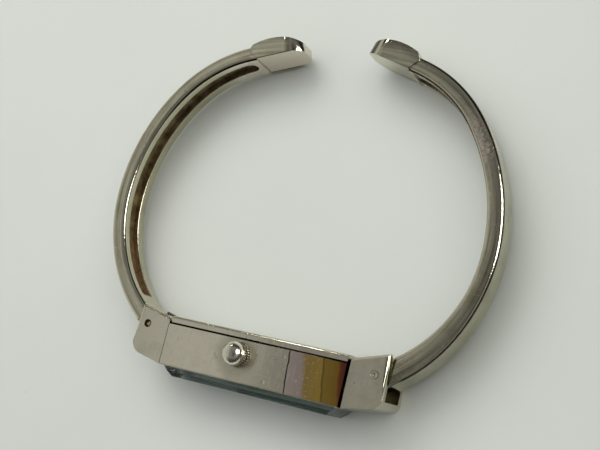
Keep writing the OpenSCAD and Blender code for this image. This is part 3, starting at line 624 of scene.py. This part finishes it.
for low, high, limit in ((0.02, 0.68, 1.99), (0.92, 1.58, 1.89)):
    for depth, lines in ((NOTCH, (0,)), (SHOULDER, (1, 3))):
        pick(winder, "VERT", lambda v: on_line(v, low, high, limit, lines))
        scale_round_axis(1 - depth)
        done()
cut(winder, rod("recess", flat(crown_axis, CROWN_BASE + 0.7), 1.36, 1.5, sides=72))
cut(winder, rod("socket", flat(crown_axis, CROWN_BASE + 1.75), 0.32, 1.0, sides=48))
soften(winder, 0.018, angle=52, segments=2, smooth=52)
hand_in(winder, "crown_spin", "crown")

# %% [markdown]
# ## The case, its back and the glass
#
# The case is a hollow bar with a seat for the glass in front and a crown hole in the side that faces
# up. It is cut from a block as a milling machine would do it. The back is a plate whose edges are
# rounder, so that a dark line shows where the two meet. The glass stands proud of the case and has
# cut edges on all four sides.

# %% Mill the case
HALF_DEPTH = 3.35
HOLLOWS = [  # cavity, window and seat of the glass
    ((-14.2, -1.75, 0.9), (14.2, 4, 8.1)), ((-13.6, -4, 1.35), (13.2, -1.7, 7.65)),
    ((-15.15, -4, 0.5), (14.65, -2.75, 8.5))]


def long_edge(edge):
    return span(edge).x > 20


case = box("case_shell", (CASE_LEFT, -HALF_DEPTH, 0), (CASE_RIGHT, HALF_DEPTH, HEIGHT))
bevel(case, long_edge, 0.28, 5)
for low, high in HOLLOWS:
    cut(case, box("hollow", low, high))
cut(case, rod("tube hole", flat(crown_axis, 8.5), 0.9, 2))
for side in (-1, 1):
    cut(case, rod("screw hole", (side * 14.8, 0, MID), SCREW_RADIUS, 2, turn=LEVEL))
soften(case, 0.035, angle=40, segments=2)
hand_in(case, "case", "case_body")

# %% Make the back with its snap lip and the notch for a case knife
back = box("back_plate", (CASE_LEFT, HALF_DEPTH, 0), (CASE_RIGHT, HALF_DEPTH + 1.2, HEIGHT))
bevel(back, lambda e: long_edge(e) and middle(e).y > 4, 0.6, 7)
bevel(back, lambda e: long_edge(e) and middle(e).y < 3.5, 0.22, 4)
combine(back, box("lip", (-13.98, 2.75, 1.12), (13.98, 3.5, 7.88)), "UNION")
cut(back, box("room", (-13.53, 2, 1.57), (13.53, HALF_DEPTH, 7.43)))
cut(back, box("notch", (-16, 3, 7.4), (CASE_LEFT + 0.35, 3.7, 9.5)))
bevel(back, lambda e: middle(e).x < CASE_LEFT + 0.01 and middle(e).y > 3.8 and middle(e).z > 8, 0.3, 2)
soften(back, 0.035, angle=40, segments=2)
hand_in(back, "case", "case_back")

# %% Cut the glass
glass = box("glass_block", (-15.05, -4.75, 0.64), (14.55, -2.93, 8.36))
bevel(glass, lambda e: long_edge(e) and middle(e).y < -4.7, 0.75, 1)
for side in (-1, 1):
    bisect(glass, Vector((side * 14.8 - 0.25, -3.36)), Vector((side * 1.39, -1.2)))
soften(glass, 0.05, angle=15, segments=2, smooth=20)
hand_in(glass, "case", "crystal")

# %% [markdown]
# ## Helpers for materials
#
# A material is a small graph of nodes. Writing it as "put this node there with these values" keeps
# the graph readable. Every helper adds its node to the graph that was begun last. Patterns read
# Object coordinates, which are metres here, so a scale of 1000 gives one unit of pattern per
# millimetre.

# %% Begin a graph, put nodes into it and wire them
PER_MM = 1000


def new_finish(name):
    """Begins a material."""
    global graph
    finish = bpy.data.materials.new(name)
    finish.use_nodes = True
    graph = finish.node_tree
    return finish, graph.nodes["Principled BSDF"]


def new_group(name, values, results):
    """Begins a group of nodes that takes some values and gives some results."""
    global graph
    graph = bpy.data.node_groups.new(name, "ShaderNodeTree")
    for side, labels in (("INPUT", values), ("OUTPUT", results)):
        for label in labels:
            graph.interface.new_socket(label, in_out=side, socket_type="NodeSocketFloat")
    return graph, graph.nodes.new("NodeGroupInput").outputs, graph.nodes.new("NodeGroupOutput")


def feed(node, inputs):
    """Sets inputs of a node: to a fixed value, or to what comes out of an earlier node."""
    for name, value in inputs.items():
        if isinstance(value, bpy.types.NodeSocket):
            graph.links.new(value, node.inputs[name])
        else:
            node.inputs[name].default_value = value


def fed(node, name):
    return node.inputs[name].links[0].from_socket


def put(kind, inputs=None, **settings):
    made = graph.nodes.new("ShaderNode" + kind)
    for name, value in settings.items():
        setattr(made, name, value)
    feed(made, inputs or {})
    return made


def use(group, values):
    made = put("Group", node_tree=group)
    feed(made, values)
    return made.outputs


# %% Short words for the nodes that come up again and again
def place_in():
    return put("TexCoord").outputs["Object"]


def facing():
    return put("NewGeometry").outputs["Normal"]


def axes_of(vector):
    return put("SeparateXYZ", {"Vector": vector}).outputs


def facing_and_place():
    return axes_of(facing()), axes_of(place_in())


def calc(how, *values):
    return put("Math", dict(enumerate(values)), operation=how).outputs[0]


def times(first, *others):
    for other in others:
        first = calc("MULTIPLY", first, other)
    return first


def plus(first, second):
    return calc("ADD", first, second)


def minus(first, second):
    return calc("SUBTRACT", first, second)


def amount_of(value):
    return calc("ABSOLUTE", value)


def distance(first, second):
    return put("VectorMath", {0: first, 1: second}, operation="DISTANCE").outputs["Value"]


def noise_of(vector, scale, detail, **more):
    return put("TexNoise", {"Vector": vector, "Scale": scale, "Detail": detail, **more}).outputs[0]


def remap(value, low, high, to_low=0.0, to_high=1.0):
    return put("MapRange", {0: value, 1: low, 2: high, 3: to_low, 4: to_high}).outputs[0]


def rise(place, start, end):
    """Goes from 0 at the start to 1 at the end, two places in millimetres."""
    return remap(place, start * MM, end * MM)


def blend_colours(first, second, amount):
    return put("Mix", {0: amount, 6: first, 7: second}, data_type="RGBA").outputs[2]


def ramp_of(value, stops):
    """A colour ramp; each stop has a position and a colour."""
    ramp = put("ValToRGB", {"Fac": value})
    while len(ramp.color_ramp.elements) < len(stops):
        ramp.color_ramp.elements.new(0.5)
    for stop, (position, tone) in zip(ramp.color_ramp.elements, stops):
        stop.position, stop.color = position, (*tone, 1)
    return ramp.outputs[0]


def relief(height, strength, depth, **more):
    """Lets a pattern of heights catch the light; the depth is in millimetres."""
    values = {"Height": height, "Strength": strength, "Distance": depth * MM, **more}
    return put("Bump", values).outputs[0]


# %% Add a colour or more roughness to what a shader has already
def tint(shader, colour, amount):
    feed(shader, {"Base Color": blend_colours(fed(shader, "Base Color"), colour, amount)})


def roughen(shader, where, extra):
    feed(shader, {"Roughness": plus(fed(shader, "Roughness"), times(where, extra))})


def dress(piece, *finishes):
    """Gives a piece its finishes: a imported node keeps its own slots, a new piece gets fresh ones."""
    for index, finish in enumerate(finishes):
        if index < len(piece.material_slots):
            piece.material_slots[index].material = finish
        else:
            piece.data.materials.append(finish)


# %% [markdown]
# ## Wear on polished metal
#
# Polished metal is told by what it reflects, and worn metal by how the reflection breaks up. Three
# effects do that, each a group of its own so that every metal can use it: hair scratches, small dings
# and patches of tarnish.

# %% Group: hair scratches in all directions
DIRECTIONS = [  # how each set of scratches is turned and stretched
    ((0.4, 0.2, 0.5), (1, 0.04, 1)), ((1.1, 0.5, 2.1), (0.05, 1, 1)), ((0.2, 1.3, 1.2), (1, 1, 0.05))]
scratches, given, result = new_group("hair_scratches", ["Per mm"], ["Height", "Mask"])
place = place_in()
scale = times(given["Per mm"], PER_MM)
lines = []
for turn, stretch in DIRECTIONS:
    turned = put("Mapping", {"Vector": place, "Rotation": turn, "Scale": stretch}).outputs[0]
    lines.append(remap(noise_of(turned, scale, 1.0), 0.68, 0.74))
total = calc("MAXIMUM", calc("MAXIMUM", lines[0], lines[1]), lines[2])
feed(result, {"Mask": total, "Height": times(total, -1.0)})

# %% Group: dings and pits
dings, given, result = new_group("dings", ["Per mm", "Share"], ["Height"])
scale = times(given["Per mm"], PER_MM)
cells = put("TexVoronoi", {"Vector": place_in(), "Scale": scale}).outputs
bowl = remap(cells["Distance"], 0.0, 0.32, 1.0, 0.0)
lot = put("SeparateColor", {"Color": cells["Color"]}).outputs[0]
chosen = calc("LESS_THAN", lot, given["Share"])
feed(result, {"Height": times(bowl, chosen, -1.0)})

# %% Group: cloudy patches
patches, given, result = new_group("patches", ["Per mm", "From", "To"], ["Mask"])
cloud = noise_of(place_in(), times(given["Per mm"], PER_MM), 4.0, Roughness=0.6)
feed(result, {"Mask": remap(cloud, given["From"], given["To"])})


def blotches(per_mm, low, high):
    return use(patches, {"Per mm": per_mm, "From": low, "To": high})["Mask"]


# %% [markdown]
# ## Worn polished steel
#
# The bangle is plated metal with a warm, slightly yellow shine. Its colour hardly changes; roughness
# does. Clean places mirror the room, handled places are hazy, and hair scratches catch the lamp. One
# function makes it for all steel pieces, each with its own share of haze, tarnish and dents.

# %% Material: worn steel
STEEL = (0.66, 0.62, 0.48, 1)
TARNISH = (0.38, 0.35, 0.21, 1)
PALE = (0.82, 0.78, 0.70, 1)
RUBBED = (0.82, 0.70, 0.61, 1)
SPECK = (0.10, 0.06, 0.035, 1)


def worn_steel(name, haze, tarnish, scratch=0.4, dents=0.6, waves=0.0, colour=STEEL, scuff=None):
    """A scuff is a rubbed spot, given by its middle in metres."""
    finish, shader = new_finish(name)
    hair = use(scratches, {"Per mm": 4.0})
    ding = use(dings, {"Per mm": 0.8, "Share": 0.12})
    tarnished = times(blotches(0.22, 0.48, 0.70), tarnish)
    film = times(blotches(1.1, 0.50, 0.72), 0.10)
    feed(shader, {"Base Color": blend_colours(colour, TARNISH, tarnished),
                  "Roughness": plus(film, haze), "Metallic": 1.0})
    shine = times(hair["Mask"], scratch)
    tint(shader, PALE, shine)
    roughen(shader, shine, 0.3)
    if scuff:
        near = rise(distance(place_in(), scuff), 5.5, 2.5)
        rubbed = times(near, blotches(2.2, 0.40, 0.56))
        tint(shader, RUBBED, rubbed)
        roughen(shader, rubbed, 0.28)
    tint(shader, SPECK, times(blotches(2.6, 0.70, 0.73), 0.8))
    height = plus(times(hair["Height"], 0.4 * scratch), times(ding["Height"], dents))
    if waves:
        height = plus(height, times(blotches(1.6, 0.25, 0.75), waves))
    feed(shader, {"Normal": relief(height, 0.25, 0.06)})
    return finish, shader


# %% [markdown]
# The long back edges of the links mirror a window as one hard white line, unless they are worn more
# than the faces beside them. A worn edge could be painted; here it is found by the way it faces.

# %% Material: steel of the links, duller along their back edges
link_steel, shader = worn_steel("worn_link_steel", haze=0.08, tarnish=0.3, scratch=0.25)
normal = axes_of(facing())
on_back_edge = times(remap(normal["Y"], 0.35, 0.55), remap(normal["Z"], 0.3, 0.5))
roughen(shader, on_back_edge, 0.28)
for piece in (six_link, twelve_link, six_pin):
    dress(piece, link_steel)

# %% [markdown]
# The ribs of a crown keep the steel's colour, while the notches between them are coloured dark. How deep a
# point lies is its distance from the axis, set against the radius of the tier that it belongs to.

# %% Material: steel of the crown, dark in the notches of its grip
NOTCH_DARK = (0.05, 0.035, 0.025, 1)
crown_steel, shader = worn_steel("worn_crown_steel", haze=0.19, tarnish=0.1, dents=0.2,
                                 colour=(0.82, 0.78, 0.64, 1))
place = axes_of(place_in())
level = put("CombineXYZ", {"X": place["X"], "Y": place["Y"]}).outputs[0]
from_axis = distance(level, (*(crown_axis * MM), 0.0))
rib_top = remap(place["Z"], 9.85 * MM, 9.90 * MM, 1.97 * MM, 1.87 * MM)
sunk = rise(minus(rib_top, from_axis), 0.02, 0.07)
below_dome = rise(place["Z"], 10.68, 10.64)
# the notches below the dome are coloured dark
tint(shader, NOTCH_DARK, times(sunk, below_dome))
dress(winder, crown_steel)

# %% [markdown]
# ## The arms' polish
#
# A bangle is polished lengthwise, so that its streaks run round with it, and the mop wears its top
# slightly round: the middle is a hair higher than the edges, which bends the reflections. Both need to
# know where on the bar a point lies, so each point of an arm keeps how far it is across and along it.

# %% Note on every point how far it lies across and along the bar, in millimetres
def place_on_bar(piece):
    across = piece.data.attributes.new("across", "FLOAT", "POINT")
    along = piece.data.attributes.new("along", "FLOAT", "POINT")
    for v in piece.data.vertices:
        point = Vector((abs(v.co.x), v.co.y)) / MM
        passed = 0.0
        for centre, radius, start, cover in arcs:
            ray, angle = polar(point, centre)
            turn = angle - start
            if turn <= cover or centre is arcs[-1][0]:
                break
            passed += math.radians(cover) * radius
        if turn < 0:  # the straight root, before the first arc begins
            across.data[v.index].value = radius - ray.dot(direction(start))
            along.data[v.index].value = -ray.dot(direction(start - 90))
            continue
        across.data[v.index].value = radius - ray.length
        along.data[v.index].value = passed + math.radians(turn) * radius


for piece in (lower_half, upper_half):
    place_on_bar(piece)


def place_across():
    return put("Attribute", attribute_name="across").outputs["Fac"]


# %% Group: streaks along the bar, and its slightly round top
lengthwise, given, result = new_group("lengthwise", ["Per mm", "Round mm"], ["Streaks", "Round"])
across = place_across()
along = put("Attribute", attribute_name="along").outputs["Fac"]
spread = put("CombineXYZ", {"X": across, "Y": times(along, 0.03)}).outputs[0]
streaks = remap(noise_of(spread, given["Per mm"], 3.0), 0.42, 0.66)
aside = minus(times(across, 2 / ARM_DEPTH), 1.0)
round_top = minus(1.0, times(aside, aside))
feed(result, {"Streaks": streaks, "Round": times(round_top, given["Round mm"])})

# %% [markdown]
# The inner faces of the two pads point away from the lamps. The one at twelve o'clock gets painted light:
# its colour is lightened. On both a painted dark reflection runs as a line along the upper and the lower
# edge.

# %% Material: steel of the arms, streaked lengthwise
ARM_COLOUR = (0.60, 0.57, 0.42, 1)
DARK_LINE = (0.20, 0.18, 0.11, 1)
PAINTED_LIGHT = (0.95, 0.87, 0.74, 1)
PAINTED_BLACK_EDGE = (0.06, 0.05, 0.035, 1)


def off_middle(z):
    return amount_of(minus(z, MID * MM))


def arm_finish(name, tarnish, streaks, scuff=None):
    finish, shader = worn_steel(name, 0.06, tarnish, scratch=0.35, scuff=scuff, colour=ARM_COLOUR)
    drawn = use(lengthwise, {"Per mm": 2.2, "Round mm": 0.10})
    normal, place = facing_and_place()
    level = remap(amount_of(normal["Z"]), 0.6, 0.9)
    # dark streaks on the top faces: partly tarnish of the polish, partly painted reflection bands
    tint(shader, DARK_LINE, times(drawn["Streaks"], streaks, level))
    inside = times(remap(normal["Y"], -0.75, -0.88), rise(place["Y"], 44, 47))
    # painted light: the inner face of the twelve o'clock pad is lightened
    tint(shader, PAINTED_LIGHT, times(inside, rise(place["X"], -1, -2)))
    # painted dark reflection: a black line along the upper and lower edges of the pads' inner faces
    rim = rise(off_middle(place["Z"]), PAD_HEIGHT / 2 - 0.36, PAD_HEIGHT / 2 - 0.27)
    tint(shader, PAINTED_BLACK_EDGE, times(rim, inside))
    feed(shader, {"Normal": relief(drawn["Round"], 1.0, 1.0, Normal=fed(shader, "Normal"))})
    return finish


arm_steel = arm_finish("worn_arm_steel", 0.45, 0.5)
scuffed_steel = arm_finish("scuffed_arm_steel", 0.70, 0.55, scuff=(0.0276, 0.0405, 0.0075))

# %% [markdown]
# The rounded edges were polished by hand, so they are wavy. Where they turn steep they get a painted
# dark reflection, a black line: on the inner edges of both arms, and on all edges of the one at six
# o'clock. Towards the tip it reaches further up.

# %% Material: steel of the arms' rounded edges
edge_steel, shader = worn_steel("worn_edge_steel_dark_reflection", haze=0.05, tarnish=0.2, waves=1.3, dents=1.2)
normal, place = facing_and_place()
wider = times(rise(place["Y"], 36, 43), 0.25)
steep = remap(minus(amount_of(normal["Z"]), wider), 0.68, 0.60)
inner = times(remap(place_across(), 1.2, 1.4), rise(off_middle(place["Z"]), 2.2, 2.4))
either = calc("MAXIMUM", inner, rise(place["X"], 0, 1))
# painted dark reflection on the steep parts of the edges
tint(shader, PAINTED_BLACK_EDGE, times(either, steep))

# %% [markdown]
# ## The grooves
#
# Nobody can polish the bottom of a groove, so skin grease and dirt have browned it, and near the
# hinges the brown turns to orange. The groove's faces are found by their place and get this finish as
# a second slot of the arm; the narrow edge faces get a wavy polish as a third.

# %% Material: browned metal in the grooves
BROWN, LIGHT_BROWN, ORANGE = (0.15, 0.11, 0.055, 1), (0.33, 0.27, 0.16, 1), (0.50, 0.32, 0.19, 1)
browned, shader = new_finish("browned_groove")
grime = blotches(4.0, 0.40, 0.62)
near_hinge = rise(axes_of(place_in())["Y"], 18, 11)
rusty = times(near_hinge, remap(grime, 0.2, 0.8, 0.15, 0.8))
colour = blend_colours(BROWN, LIGHT_BROWN, blotches(0.5, 0.40, 0.66))
feed(shader, {"Base Color": blend_colours(colour, ORANGE, rusty),
              "Roughness": remap(grime, 0, 1, 0.28, 0.5),
              "Normal": relief(grime, 0.3, 0.05), "Metallic": 0.9})


# %% Give each face of the arms its finish
def in_groove(face):
    point = middle(face)
    depth = groove_depth_at(point)
    return depth is not None and depth > 0.08 and abs(point.z - GROOVE_MID) < GROOVE_HEIGHT / 2 + 0.03


def on_edge(face):
    return 0.25 < abs(face.normal.z) < 0.96 and not in_groove(face)


for piece, main in ((lower_half, scuffed_steel), (upper_half, arm_steel)):
    dress(piece, main, browned, edge_steel)
    for kind, rule in ((1, in_groove), (2, on_edge)):
        count = pick(piece, "FACE", rule)
        piece.active_material_index = kind
        bpy.ops.object.material_slot_assign()
        done()
        print(piece.name, "faces with finish", kind, ":", count)

# %% [markdown]
# ## The case
#
# The side of the case that faces up has lived: left of the crown it is clean. Right of it a fine dark curved
# line starts a painted reflection on the top face: a pinkish stretch, scuffed with pale flecks, and towards
# six o'clock brassy and red-brown bands. All of it is tied to the place on the case, in millimetres.

# %% Material: case steel, with a painted reflection in brassy bands at its end
REFLECTION_BANDS = [(0.0, (0.66, 0.57, 0.50)), (0.25, (0.60, 0.49, 0.42)), (0.335, (0.50, 0.34, 0.11)),
         (0.60, (0.54, 0.37, 0.08)), (0.625, (0.22, 0.14, 0.04)), (0.65, (0.40, 0.27, 0.06)),
         (0.87, (0.33, 0.19, 0.04)), (0.91, (0.24, 0.07, 0.03)), (1.0, (0.12, 0.05, 0.04))]
FLECK, REFLECTION_EDGE, SEAM = (0.85, 0.72, 0.55, 1), (0.08, 0.06, 0.05, 1), (0.05, 0.04, 0.03, 1)
case_steel, shader = worn_steel("worn_case_steel_reflection_bands", haze=0.055, tarnish=0.2, scratch=0.2)
spot = place_in()
place = axes_of(spot)
x = plus(place["X"], times(noise_of(spot, 420.0, 2.0), 0.7 * MM))
band_x = plus(x, times(place["Y"], 0.18))
line_x = plus(x, times(place["Y"], 0.08))
on_top = rise(place["Z"], 8.96, 8.98)
# painted reflection: pinkish, brassy and red-brown bands on the top face
bands = ramp_of(rise(band_x, 6.4, 15.8), REFLECTION_BANDS)
tint(shader, bands, times(rise(line_x, 6.35, 6.45), on_top))
near_scuff = times(rise(x, 8.2, 9.0), rise(x, 12.2, 10.3))
tint(shader, FLECK, times(blotches(3.0, 0.60, 0.66), near_scuff, on_top))
# a dark line along the edge of the painted reflection
line = times(rise(line_x, 6.25, 6.33), rise(line_x, 6.55, 6.45))
tint(shader, REFLECTION_EDGE, times(line, on_top))
tint(shader, SEAM, times(rise(place["Y"], 3.16, 3.21), rise(place["Z"], 8.5, 8.7)))
from_stem = distance(spot, (*(crown_axis * MM), HEIGHT * MM))
roughen(shader, times(rise(from_stem, 4.4, 2.4), on_top), 0.32)
dress(case, case_steel)

# %% [markdown]
# The back is the same steel, polished a little less evenly. Its edge next to the case is dark too, so
# that both sides of the seam hold dirt.

# %% Material: steel of the back
back_steel, shader = worn_steel("worn_back_steel", haze=0.08, tarnish=0.15, waves=0.5)
tint(shader, SEAM, rise(axes_of(place_in())["Y"], 3.50, 3.45))
dress(back, back_steel)

# %% [markdown]
# ## Glass
#
# The glass is clear, with a green from its thickness, and it shows the dark dial below. Along its
# length it carries faint polishing streaks, which only roughness and a low bump can show.

# %% Material: glass
crystal_glass, shader = new_finish("green_tinged_glass")
long_way = put("Mapping", {"Vector": place_in(), "Scale": (0.06, 1.0, 1.0)}).outputs[0]
streak = noise_of(long_way, 900.0, 2.0)
feed(shader, {"Base Color": (0.34, 0.43, 0.40, 1), "Transmission Weight": 1.0, "IOR": 1.52,
              "Roughness": remap(streak, 0.4, 0.7, 0.02, 0.12),
              "Normal": relief(streak, 0.35, 0.1)})
dress(glass, crystal_glass)

# %% [markdown]
# ## Everything inside
#
# Behind the glass lie a dial, hands and a small quartz movement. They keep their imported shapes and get
# the finish that such parts have: grained brass wheels, a matt dial, moulded plastic, copper wire.

# %% Finishes of the parts inside
def grained(name, colour, other, rough, metal, per_mm, stretch=(1, 1, 1), depth=0.3, coat=0.0):
    finish, shader = new_finish(name)
    stretched = put("Mapping", {"Vector": place_in(), "Scale": stretch}).outputs[0]
    grain = noise_of(stretched, per_mm * PER_MM, 3.0)
    amount = times(blotches(0.5, 0.4, 0.7), grain)
    feed(shader, {"Base Color": blend_colours((*colour, 1), (*other, 1), amount),
                  "Roughness": remap(grain, 0.3, 0.7, rough * 0.8, rough * 1.25),
                  "Normal": relief(grain, depth, 0.03), "Metallic": metal, "Coat Weight": coat})
    return finish


GRAINED = [  # name, the nodes that wear it, and the values that grained takes
    ("grained_brass", "rotor_pinion intermediate_wheel third_wheel centre_wheel cannon_pinion minute_wheel "
     "hour_wheel setting_wheel sliding_pinion crown_tube",
     (0.72, 0.53, 0.24), (0.50, 0.34, 0.13), 0.28, 1.0, 6.0),
    ("grained_nickel", "main_plate train_bridge battery_strap",
     (0.60, 0.58, 0.53), (0.42, 0.40, 0.36), 0.3, 1.0, 5.0, (1, 0.08, 1)),
    ("matt_dial", "dial", (0.010, 0.013, 0.012), (0.035, 0.045, 0.040), 0.45, 0.0, 8.0),
    ("silver_markers", "hour_markers", (0.62, 0.62, 0.58), (0.45, 0.45, 0.42), 0.25, 1.0, 4.0),
    ("brushed_hands", "minute_hand hour_hand",
     (0.70, 0.69, 0.64), (0.5, 0.5, 0.46), 0.22, 1.0, 9.0, (0.05, 1, 1)),
    ("black_rubber", "back_gasket crown_gasket",
     (0.018, 0.018, 0.017), (0.045, 0.042, 0.038), 0.62, 0.0, 7.0, (1, 1, 1), 0.5),
    ("milky_seal", "crystal_gasket", (0.30, 0.31, 0.28), (0.20, 0.20, 0.17), 0.4, 0.0, 5.0),
    ("holder_plastic", "movement_holder", (0.55, 0.54, 0.48), (0.40, 0.38, 0.32), 0.42, 0.0, 4.0),
    ("cell_steel", "battery", (0.70, 0.70, 0.68), (0.50, 0.50, 0.48), 0.2, 1.0, 5.0, (1, 1, 0.1)),
    ("yellow_film", "battery_insulator",
     (0.60, 0.42, 0.08), (0.48, 0.30, 0.04), 0.2, 0.0, 2.0, (1, 1, 1), 0.3, 0.4),
    ("board_green", "circuit_board",
     (0.03, 0.14, 0.06), (0.06, 0.22, 0.10), 0.35, 0.0, 3.0, (1, 1, 1), 0.3, 0.3),
    ("can_steel", "quartz_can", (0.72, 0.71, 0.68), (0.5, 0.5, 0.47), 0.24, 1.0, 6.0, (1, 1, 0.1)),
    ("chip_resin", "control_chip", (0.012, 0.012, 0.013), (0.03, 0.03, 0.03), 0.5, 0.0, 6.0),
    ("soft_iron", "coil_core stator", (0.42, 0.40, 0.38), (0.28, 0.26, 0.24), 0.4, 1.0, 6.0),
    ("magnet_grey", "rotor", (0.18, 0.18, 0.19), (0.10, 0.10, 0.11), 0.35, 1.0, 5.0),
    ("spring_steel", "movement_screws link_screws setting_lever stem upper_spring lower_spring",
     (0.50, 0.50, 0.49), (0.32, 0.31, 0.30), 0.25, 1.0, 5.0)]
worn_by = {}
for name, nodes, *values in GRAINED:
    worn_by.update(dict.fromkeys(nodes.split(), grained(name, *values)))

# %% Copper winding, whose turns lie across the core
winding, shader = new_finish("copper_winding")
waves = put("TexWave", {"Vector": place_in(), "Scale": 2600.0, "Distortion": 0.4}, bands_direction="Z")
turns = waves.outputs["Fac"]
feed(shader, {"Base Color": blend_colours((0.42, 0.15, 0.05, 1), (0.85, 0.38, 0.17, 1), turns),
              "Normal": relief(turns, 0.6, 0.04), "Metallic": 1.0, "Roughness": 0.3})

# %% The sunken pin: dark and mottled at its rim, bright brass at its centre
pin_finish, shader = new_finish("sunken_pin")
bright = rise(axes_of(place_in())["Z"], 8.45, 8.58)
# the low rim of the pin is coloured dark and mottled
dark_rim = blend_colours((0.03, 0.022, 0.015, 1), (0.09, 0.06, 0.035, 1), blotches(5.0, 0.3, 0.7))
feed(shader, {"Base Color": blend_colours(dark_rim, (0.60, 0.47, 0.25, 1), bright),
              "Roughness": remap(bright, 0, 1, 0.6, 0.25), "Metallic": bright})
dress(twelve_pin, pin_finish)

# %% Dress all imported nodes, also those that new pieces stand in for
worn_by.update({
    "coil_winding": winding, "case_body": case_steel, "case_back": back_steel, "crystal": crystal_glass,
    "crown": crown_steel, "upper_link": link_steel, "lower_link": link_steel, "upper_pin": pin_finish,
    "lower_pin": link_steel, "upper_arm": arm_steel, "lower_arm": arm_steel})
for name, finish in worn_by.items():
    dress(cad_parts[name], finish)
print("dressed", len(worn_by), "of", len(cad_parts), "nodes")

# %% [markdown]
# ## Floor and light
#
# The watch lies on its side on a pale desk, which two soft lamps light from above, a wide one and a
# weaker one behind. Polished metal shows whatever stands around it, and for that there is a second
# set that only reflections see: a window, a small far window, a low black card, and a plain room that
# is lighter above and darker low down.

# %% Floor
clear_selection()
bpy.ops.mesh.primitive_plane_add(size=12.0, location=(0, 0, 0))
desk = bpy.context.object
desk.name = "desk"
desk_finish, shader = new_finish("pale_desk")
colour = blend_colours((0.605, 0.635, 0.583, 1), (0.64, 0.66, 0.613, 1), blotches(0.02, 0.3, 0.7))
dust = times(blotches(0.7, 0.745, 0.765), 0.7)
feed(shader, {"Base Color": blend_colours(colour, (0.20, 0.19, 0.16, 1), dust),
              "Roughness": remap(blotches(1.5, 0.3, 0.7), 0, 1, 0.55, 0.65),
              "Specular IOR Level": 0.12})
dress(desk, desk_finish)

# %% Room: what the metal mirrors, by direction
CEILING = [  # direction along X and brightness
    (-0.80, 0.28), (-0.58, 0.37), (-0.51, 0.52), (-0.475, 0.53), (-0.45, 0.42), (-0.42, 0.27), (-0.37, 0.28),
    (-0.335, 0.36), (-0.29, 0.26), (-0.22, 0.17), (0.1, 0.20), (0.45, 0.05), (1.0, 0.04)]
WALLS = [(0.0, 0.07), (0.10, 0.08), (0.25, 0.15), (0.45, 0.30), (0.7, 0.45)]  # height and brightness
room = bpy.data.worlds.new("room")
bpy.context.scene.world = room
room.use_nodes = True
graph = room.node_tree
toward = axes_of(put("TexCoord").outputs["Generated"])
ceiling = ramp_of(remap(toward["X"], -1, 1), [((x + 1) / 2, (grey,) * 3) for x, grey in CEILING])
walls = ramp_of(toward["Z"], [(z, (grey,) * 3) for z, grey in WALLS])
sideways = calc("POWER", amount_of(toward["Y"]), 1.5)
walls = blend_colours(walls, (0.03, 0.03, 0.03, 1), times(sideways, 0.95))
walls = blend_colours(walls, (0.50, 0.50, 0.48, 1), remap(toward["X"], -0.35, -0.75))
mixed = blend_colours(walls, ceiling, remap(toward["Z"], 0.55, 0.80))
feed(graph.nodes["Background"], {"Color": mixed})

# %% [markdown]
# Photographers stand black cards beside polished metal, so that its edges draw themselves as dark
# lines. This one is a low ring with one side left open.

# %% A low black card all round, which only reflections see
card = rod("black_card", (0, 22, 11), 75, 22, sides=96)
pick(card, "FACE", lambda f: abs(f.normal.z) > 0.9 or middle(f).x < -25)
bpy.ops.mesh.delete(type="FACE")
done()
card_black, shader = new_finish("card_black")
feed(shader, {"Base Color": (0.02, 0.02, 0.02, 1), "Roughness": 0.9})
dress(card, card_black)
card.visible_camera = card.visible_diffuse = card.visible_shadow = card.visible_transmission = False


# %% Lamps: two windows that only reflections see, and two softboxes that only light
def lamp(name, toward, away, size, radiance, mirrored):
    data = bpy.data.lights.new(name, "AREA")
    data.shape, data.size, data.size_y = "RECTANGLE", size[0], size[1]
    data.energy = radiance * math.pi * size[0] * size[1]
    lit = bpy.data.objects.new(name, data)
    bpy.context.scene.collection.objects.link(lit)
    toward = Vector(toward).normalized()
    lit.location = toward * away
    lit.rotation_euler = toward.to_track_quat("Z", "Y").to_euler()
    lit.visible_glossy, lit.visible_diffuse = mirrored, not mirrored


lamp("window", (0.80, 0.36, 0.46), 0.5, (0.24, 0.23), 8.0, mirrored=True)
lamp("far_window", (-0.385, 0.86, 0.31), 0.5, (0.03, 0.06), 14.0, mirrored=True)
lamp("softbox", (-0.10, 0.38, 0.92), 0.75, (2.2, 1.0), 1.22, mirrored=False)
lamp("back_softbox", (-0.30, 0.62, 0.72), 0.42, (0.26, 0.26), 2.3, mirrored=False)
